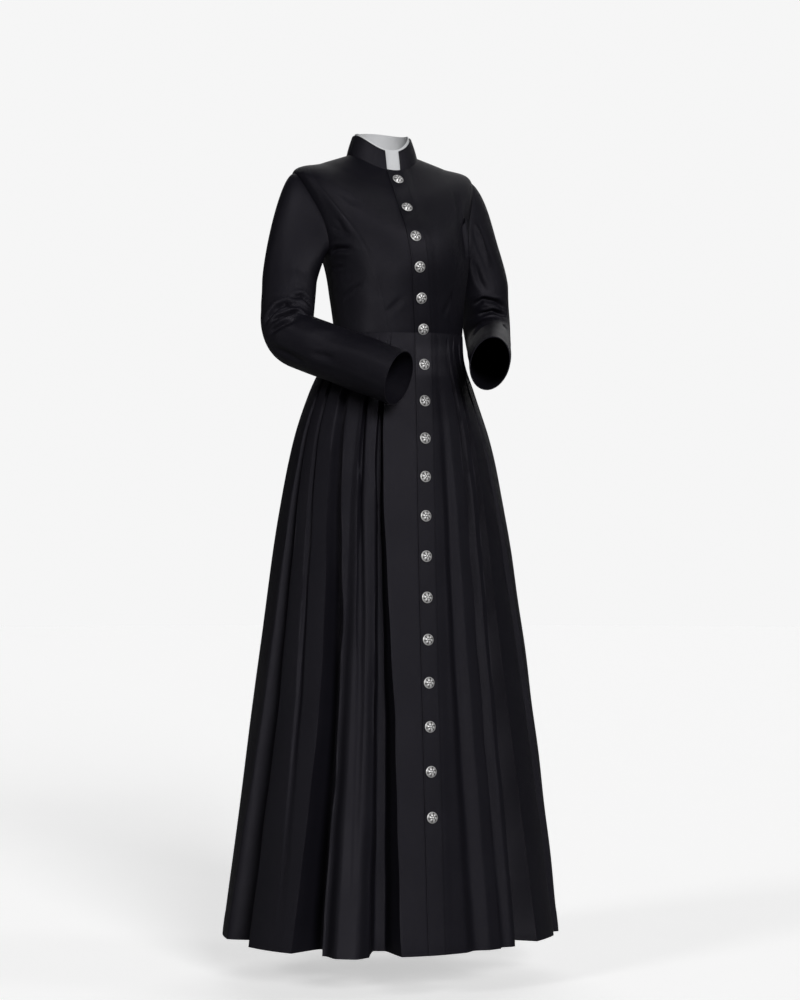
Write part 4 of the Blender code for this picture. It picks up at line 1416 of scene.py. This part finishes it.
class CassockStage(PropertyGroup):
    """The floor, the light and the camera."""

    turn: FloatProperty(
        name="Turn",
        description="Angle of the camera round the cassock",
        default=math.radians(-23),
        subtype="ANGLE",
    )
    distance: FloatProperty(
        name="Distance", description="From the camera to the cassock", default=5.0, subtype="DISTANCE"
    )
    height: FloatProperty(
        name="Height", description="Height of the camera", default=-0.63, subtype="DISTANCE"
    )
    across: FloatProperty(
        name="Across",
        description="How far the camera stands to the side",
        default=0.033,
        subtype="DISTANCE",
    )
    lens: FloatProperty(
        name="Lens", description="Focal length of the camera, in millimetres", default=98.0
    )
    ambient: FloatProperty(
        name="Ambient", description="Strength of the light from all round", default=0.02
    )
    floor_z: FloatProperty(
        name="Floor height", description="Height of the floor", default=-1.503, subtype="DISTANCE"
    )
    floor_sides: IntProperty(
        name="Floor sides", description="How many sides the round floor has", default=96
    )


# ---- the stage

FLOOR_RADIUS = 14.0
SENSOR_MM = 36.0
WHITE = (1.0, 1.0, 1.0, 1.0)
BACKDROP = (0.92, 0.92, 0.92, 1.0)
# each light's angle round from the camera, height above the horizon, softness and strength
LIGHTS = (
    ("key_light", 17.0, 18.0, 20.0, 1.85),
    ("left_light", -44.0, 28.0, 12.0, 0.46),
    ("right_light", 74.0, 30.0, 14.0, 0.22),
    ("back_light", 172.0, 34.0, 60.0, 0.7),
)


def lay_floor(stage, colour):
    mesh = bpy.data.meshes.new("floor")
    ring = []
    for k in range(stage.floor_sides):
        turn = math.tau * k / stage.floor_sides
        ring.append((FLOOR_RADIUS * math.cos(turn), FLOOR_RADIUS * math.sin(turn), stage.floor_z))
    mesh.from_pydata(ring, [], [tuple(range(stage.floor_sides))])
    mesh.materials.append(floor_material(colour))
    ground = bpy.data.objects.new("floor", mesh)
    bpy.context.scene.collection.objects.link(ground)


def soft_world(ambient):
    """A world that shows as a pale backdrop and lights the cassock only a little."""
    world = bpy.data.worlds.new("soft_studio")
    world.use_nodes = True
    nodes, link = world.node_tree.nodes, world.node_tree.links.new
    glow = nodes["Background"]
    set_inputs(glow, {"Color": WHITE, "Strength": ambient})
    backdrop = nodes.new("ShaderNodeBackground")
    set_inputs(backdrop, {"Color": BACKDROP})
    path = nodes.new("ShaderNodeLightPath")
    choose = nodes.new("ShaderNodeMixShader")
    link(path.outputs["Is Camera Ray"], choose.inputs["Fac"])
    link(glow.outputs[0], choose.inputs[1])
    link(backdrop.outputs[0], choose.inputs[2])
    link(choose.outputs[0], nodes["World Output"].inputs["Surface"])
    return world


def hang_light(stage, name, turn, rise, soft, strength):
    lamp = bpy.data.lights.new(name, "SUN")
    lamp.angle = math.radians(soft)
    lamp.energy = strength
    obj = bpy.data.objects.new(name, lamp)
    around, up = stage.turn + math.radians(turn), math.radians(rise)
    flat = math.cos(up)
    source = Vector((math.sin(around) * flat, -math.cos(around) * flat, math.sin(up)))
    obj.rotation_euler = source.to_track_quat("Z", "Y").to_euler()
    bpy.context.scene.collection.objects.link(obj)


def set_camera(stage):
    """A level camera, turned round the cassock and moved a little to its side."""
    right = Vector((math.cos(stage.turn), math.sin(stage.turn), 0.0))
    ahead = Vector((-math.sin(stage.turn), math.cos(stage.turn), 0.0))
    camera = bpy.data.cameras.new("camera")
    camera.lens = stage.lens
    camera.sensor_fit = "VERTICAL"
    camera.sensor_height = SENSOR_MM
    camera.sensor_width = SENSOR_MM
    eye = bpy.data.objects.new("camera", camera)
    level = Vector((0.0, 0.0, stage.height))
    eye.location = right * stage.across + level - ahead * stage.distance
    eye.rotation_euler = ahead.to_track_quat("-Z", "Y").to_euler()
    bpy.context.scene.collection.objects.link(eye)
    return eye


# ---- operators


class CASSOCK_OT_finishes(Operator):
    """Make the gabardine, band, thread and silver finishes"""

    bl_idname = "cassock.finishes"
    bl_label = "Make finishes"

    def execute(self, context):
        colours, cloth = context.scene.cassock_colours, context.scene.cassock_cloth
        weave_group()
        unevenness_group()
        cloth_material(
            "gabardine_twill",
            colours.cloth,
            pitch=cloth.twill,
            roughness=0.50,
            sheen=0.0,
            relief=0.5,
            specular=0.26,
        )
        cloth_material(
            "band_cotton",
            colours.band,
            pitch=0.0005,
            roughness=0.7,
            sheen=0.05,
            relief=0.3,
            specular=0.3,
        )
        plain_material("sewing_thread", colours.thread, 0.5)
        silver_material(colours)
        return {"FINISHED"}


class CASSOCK_OT_bodice(Operator):
    """Make the five pieces of the bodice"""

    bl_idname = "cassock.bodice"
    bl_label = "Make bodice"

    def execute(self, context):
        sizes = context.scene.cassock_cloth
        finish_piece(bodice_back(sizes), "bodice_back")
        for side, hand in ((1, "left"), (-1, "right")):
            finish_piece(bodice_front(side, sizes), f"bodice_front_{hand}")
            finish_piece(bodice_side_front(side, sizes), f"bodice_side_front_{hand}")
        return {"FINISHED"}


class CASSOCK_OT_collar(Operator):
    """Make the black stand collar and the white band inside it"""

    bl_idname = "cassock.collar"
    bl_label = "Make collar"

    def execute(self, context):
        sizes = context.scene.cassock_cloth
        finish_piece(collar_stand(sizes), "collar_stand")
        finish_piece(collar_band(sizes), "collar_band")
        return {"FINISHED"}


class CASSOCK_OT_sleeves(Operator):
    """Make the two set-in sleeves"""

    bl_idname = "cassock.sleeves"
    bl_label = "Make sleeves"

    def execute(self, context):
        for which in ("right", "left"):
            finish_piece(sleeve(which, context.scene.cassock_cloth), f"sleeve_{which}")
        return {"FINISHED"}


class CASSOCK_OT_skirt(Operator):
    """Make the four pleated panels of the skirt"""

    bl_idname = "cassock.skirt"
    bl_label = "Make skirt"

    def execute(self, context):
        sizes = context.scene.cassock_cloth
        for side, hand in ((1, "left"), (-1, "right")):
            finish_piece(skirt_front(side, sizes), f"skirt_front_{hand}")
            finish_piece(skirt_back(side, sizes), f"skirt_back_{hand}")
        return {"FINISHED"}


class CASSOCK_OT_buttons(Operator):
    """Make the eighteen buttons down the front"""

    bl_idname = "cassock.buttons"
    bl_label = "Make buttons"

    def execute(self, context):
        look = context.scene.cassock_buttons
        pattern = button_mesh(look)
        for number, z in enumerate(button_heights(), 1):
            front = "bodice_front_left" if number <= BODICE_BUTTONS else "skirt_front_left"
            point, way = place_on(front, 0.0, z)
            mesh = pattern.copy()
            mesh.name = f"silver_button_{number:02d}"
            turn = way.to_track_quat("Z", "Y").to_matrix().to_4x4()
            turn.translation = point
            mesh.transform(turn)
            mesh.materials.append(bpy.data.materials["worn_silver"])
            obj = bpy.data.objects.new(mesh.name, mesh)
            context.scene.collection.objects.link(obj)
            finish_piece(obj, f"button_{number:02d}")
        bpy.data.meshes.remove(pattern)
        return {"FINISHED"}


class CASSOCK_OT_stitching(Operator):
    """Sew the rows of topstitching on the placket and the collar"""

    bl_idname = "cassock.stitching"
    bl_label = "Sew topstitching"

    def execute(self, context):
        sew = context.scene.cassock_stitches
        measures = (sew.spacing, sew.length, sew.thickness)
        for part in ("bodice", "skirt"):
            lines = []
            for distance in (-LAP_OVER + sew.inset, LAP_FLAT):
                line, ways = line_on(f"{part}_front_left", distance)
                raised = line + ways * sew.thickness * STITCH_PROUD
                lines.append(raised[2:-2])
            stitched(f"{part}_topstitching", lines, *measures)
        points, normal = made["collar_stand"]
        raised = points + normal * sew.thickness * STITCH_PROUD
        along = run_along(points)
        level = int(np.argmin(np.abs(along[-1, 0] - along[:, 0] - sew.inset)))
        stitched("collar_topstitching", [raised[level, 2:-2]], *measures)
        return {"FINISHED"}


class CASSOCK_OT_cuts(Operator):
    """A step that does nothing"""

    bl_idname = "cassock.cuts"
    bl_label = "State cuts"

    def execute(self, context):
        return {"FINISHED"}


class CASSOCK_OT_stage(Operator):
    """Set the pale floor, the soft light and the camera"""

    bl_idname = "cassock.stage"
    bl_label = "Set stage"

    def execute(self, context):
        stage = context.scene.cassock_stage
        lay_floor(stage, context.scene.cassock_colours.floor)
        context.scene.world = soft_world(stage.ambient)
        context.scene.view_settings.view_transform = "Standard"
        for light in LIGHTS:
            hang_light(stage, *light)
        context.scene.camera = set_camera(stage)
        return {"FINISHED"}


STEPS = (
    CASSOCK_OT_finishes,
    CASSOCK_OT_bodice,
    CASSOCK_OT_collar,
    CASSOCK_OT_sleeves,
    CASSOCK_OT_skirt,
    CASSOCK_OT_buttons,
    CASSOCK_OT_stitching,
    CASSOCK_OT_cuts,
    CASSOCK_OT_stage,
)
SETTINGS = {
    "cassock_cloth": CassockCloth,
    "cassock_buttons": CassockButtons,
    "cassock_stitches": CassockStitches,
    "cassock_colours": CassockColours,
    "cassock_stage": CassockStage,
}


class CASSOCK_PT_steps(Panel):
    """Sizes, colours and steps of the cassock"""

    bl_idname = "CASSOCK_PT_steps"
    bl_label = "Cassock"
    bl_space_type = "VIEW_3D"
    bl_region_type = "UI"
    bl_category = "Cassock"

    def draw(self, context):
        for step in STEPS:
            self.layout.operator(step.bl_idname)
        for name, group in SETTINGS.items():
            box = self.layout.box()
            for field in group.__annotations__:
                box.prop(getattr(context.scene, name), field)


def register():
    for made_class in (*SETTINGS.values(), *STEPS, CASSOCK_PT_steps):
        bpy.utils.register_class(made_class)
    for name, group in SETTINGS.items():
        setattr(bpy.types.Scene, name, PointerProperty(type=group))


def unregister():
    for name in SETTINGS:
        delattr(bpy.types.Scene, name)
    for made_class in (CASSOCK_PT_steps, *reversed(STEPS), *reversed(SETTINGS.values())):
        bpy.utils.unregister_class(made_class)


def main():
    register()
    for step in STEPS:
        family, name = step.bl_idname.split(".")
        getattr(getattr(bpy.ops, family), name)()


if __name__ == "__main__":
    main()
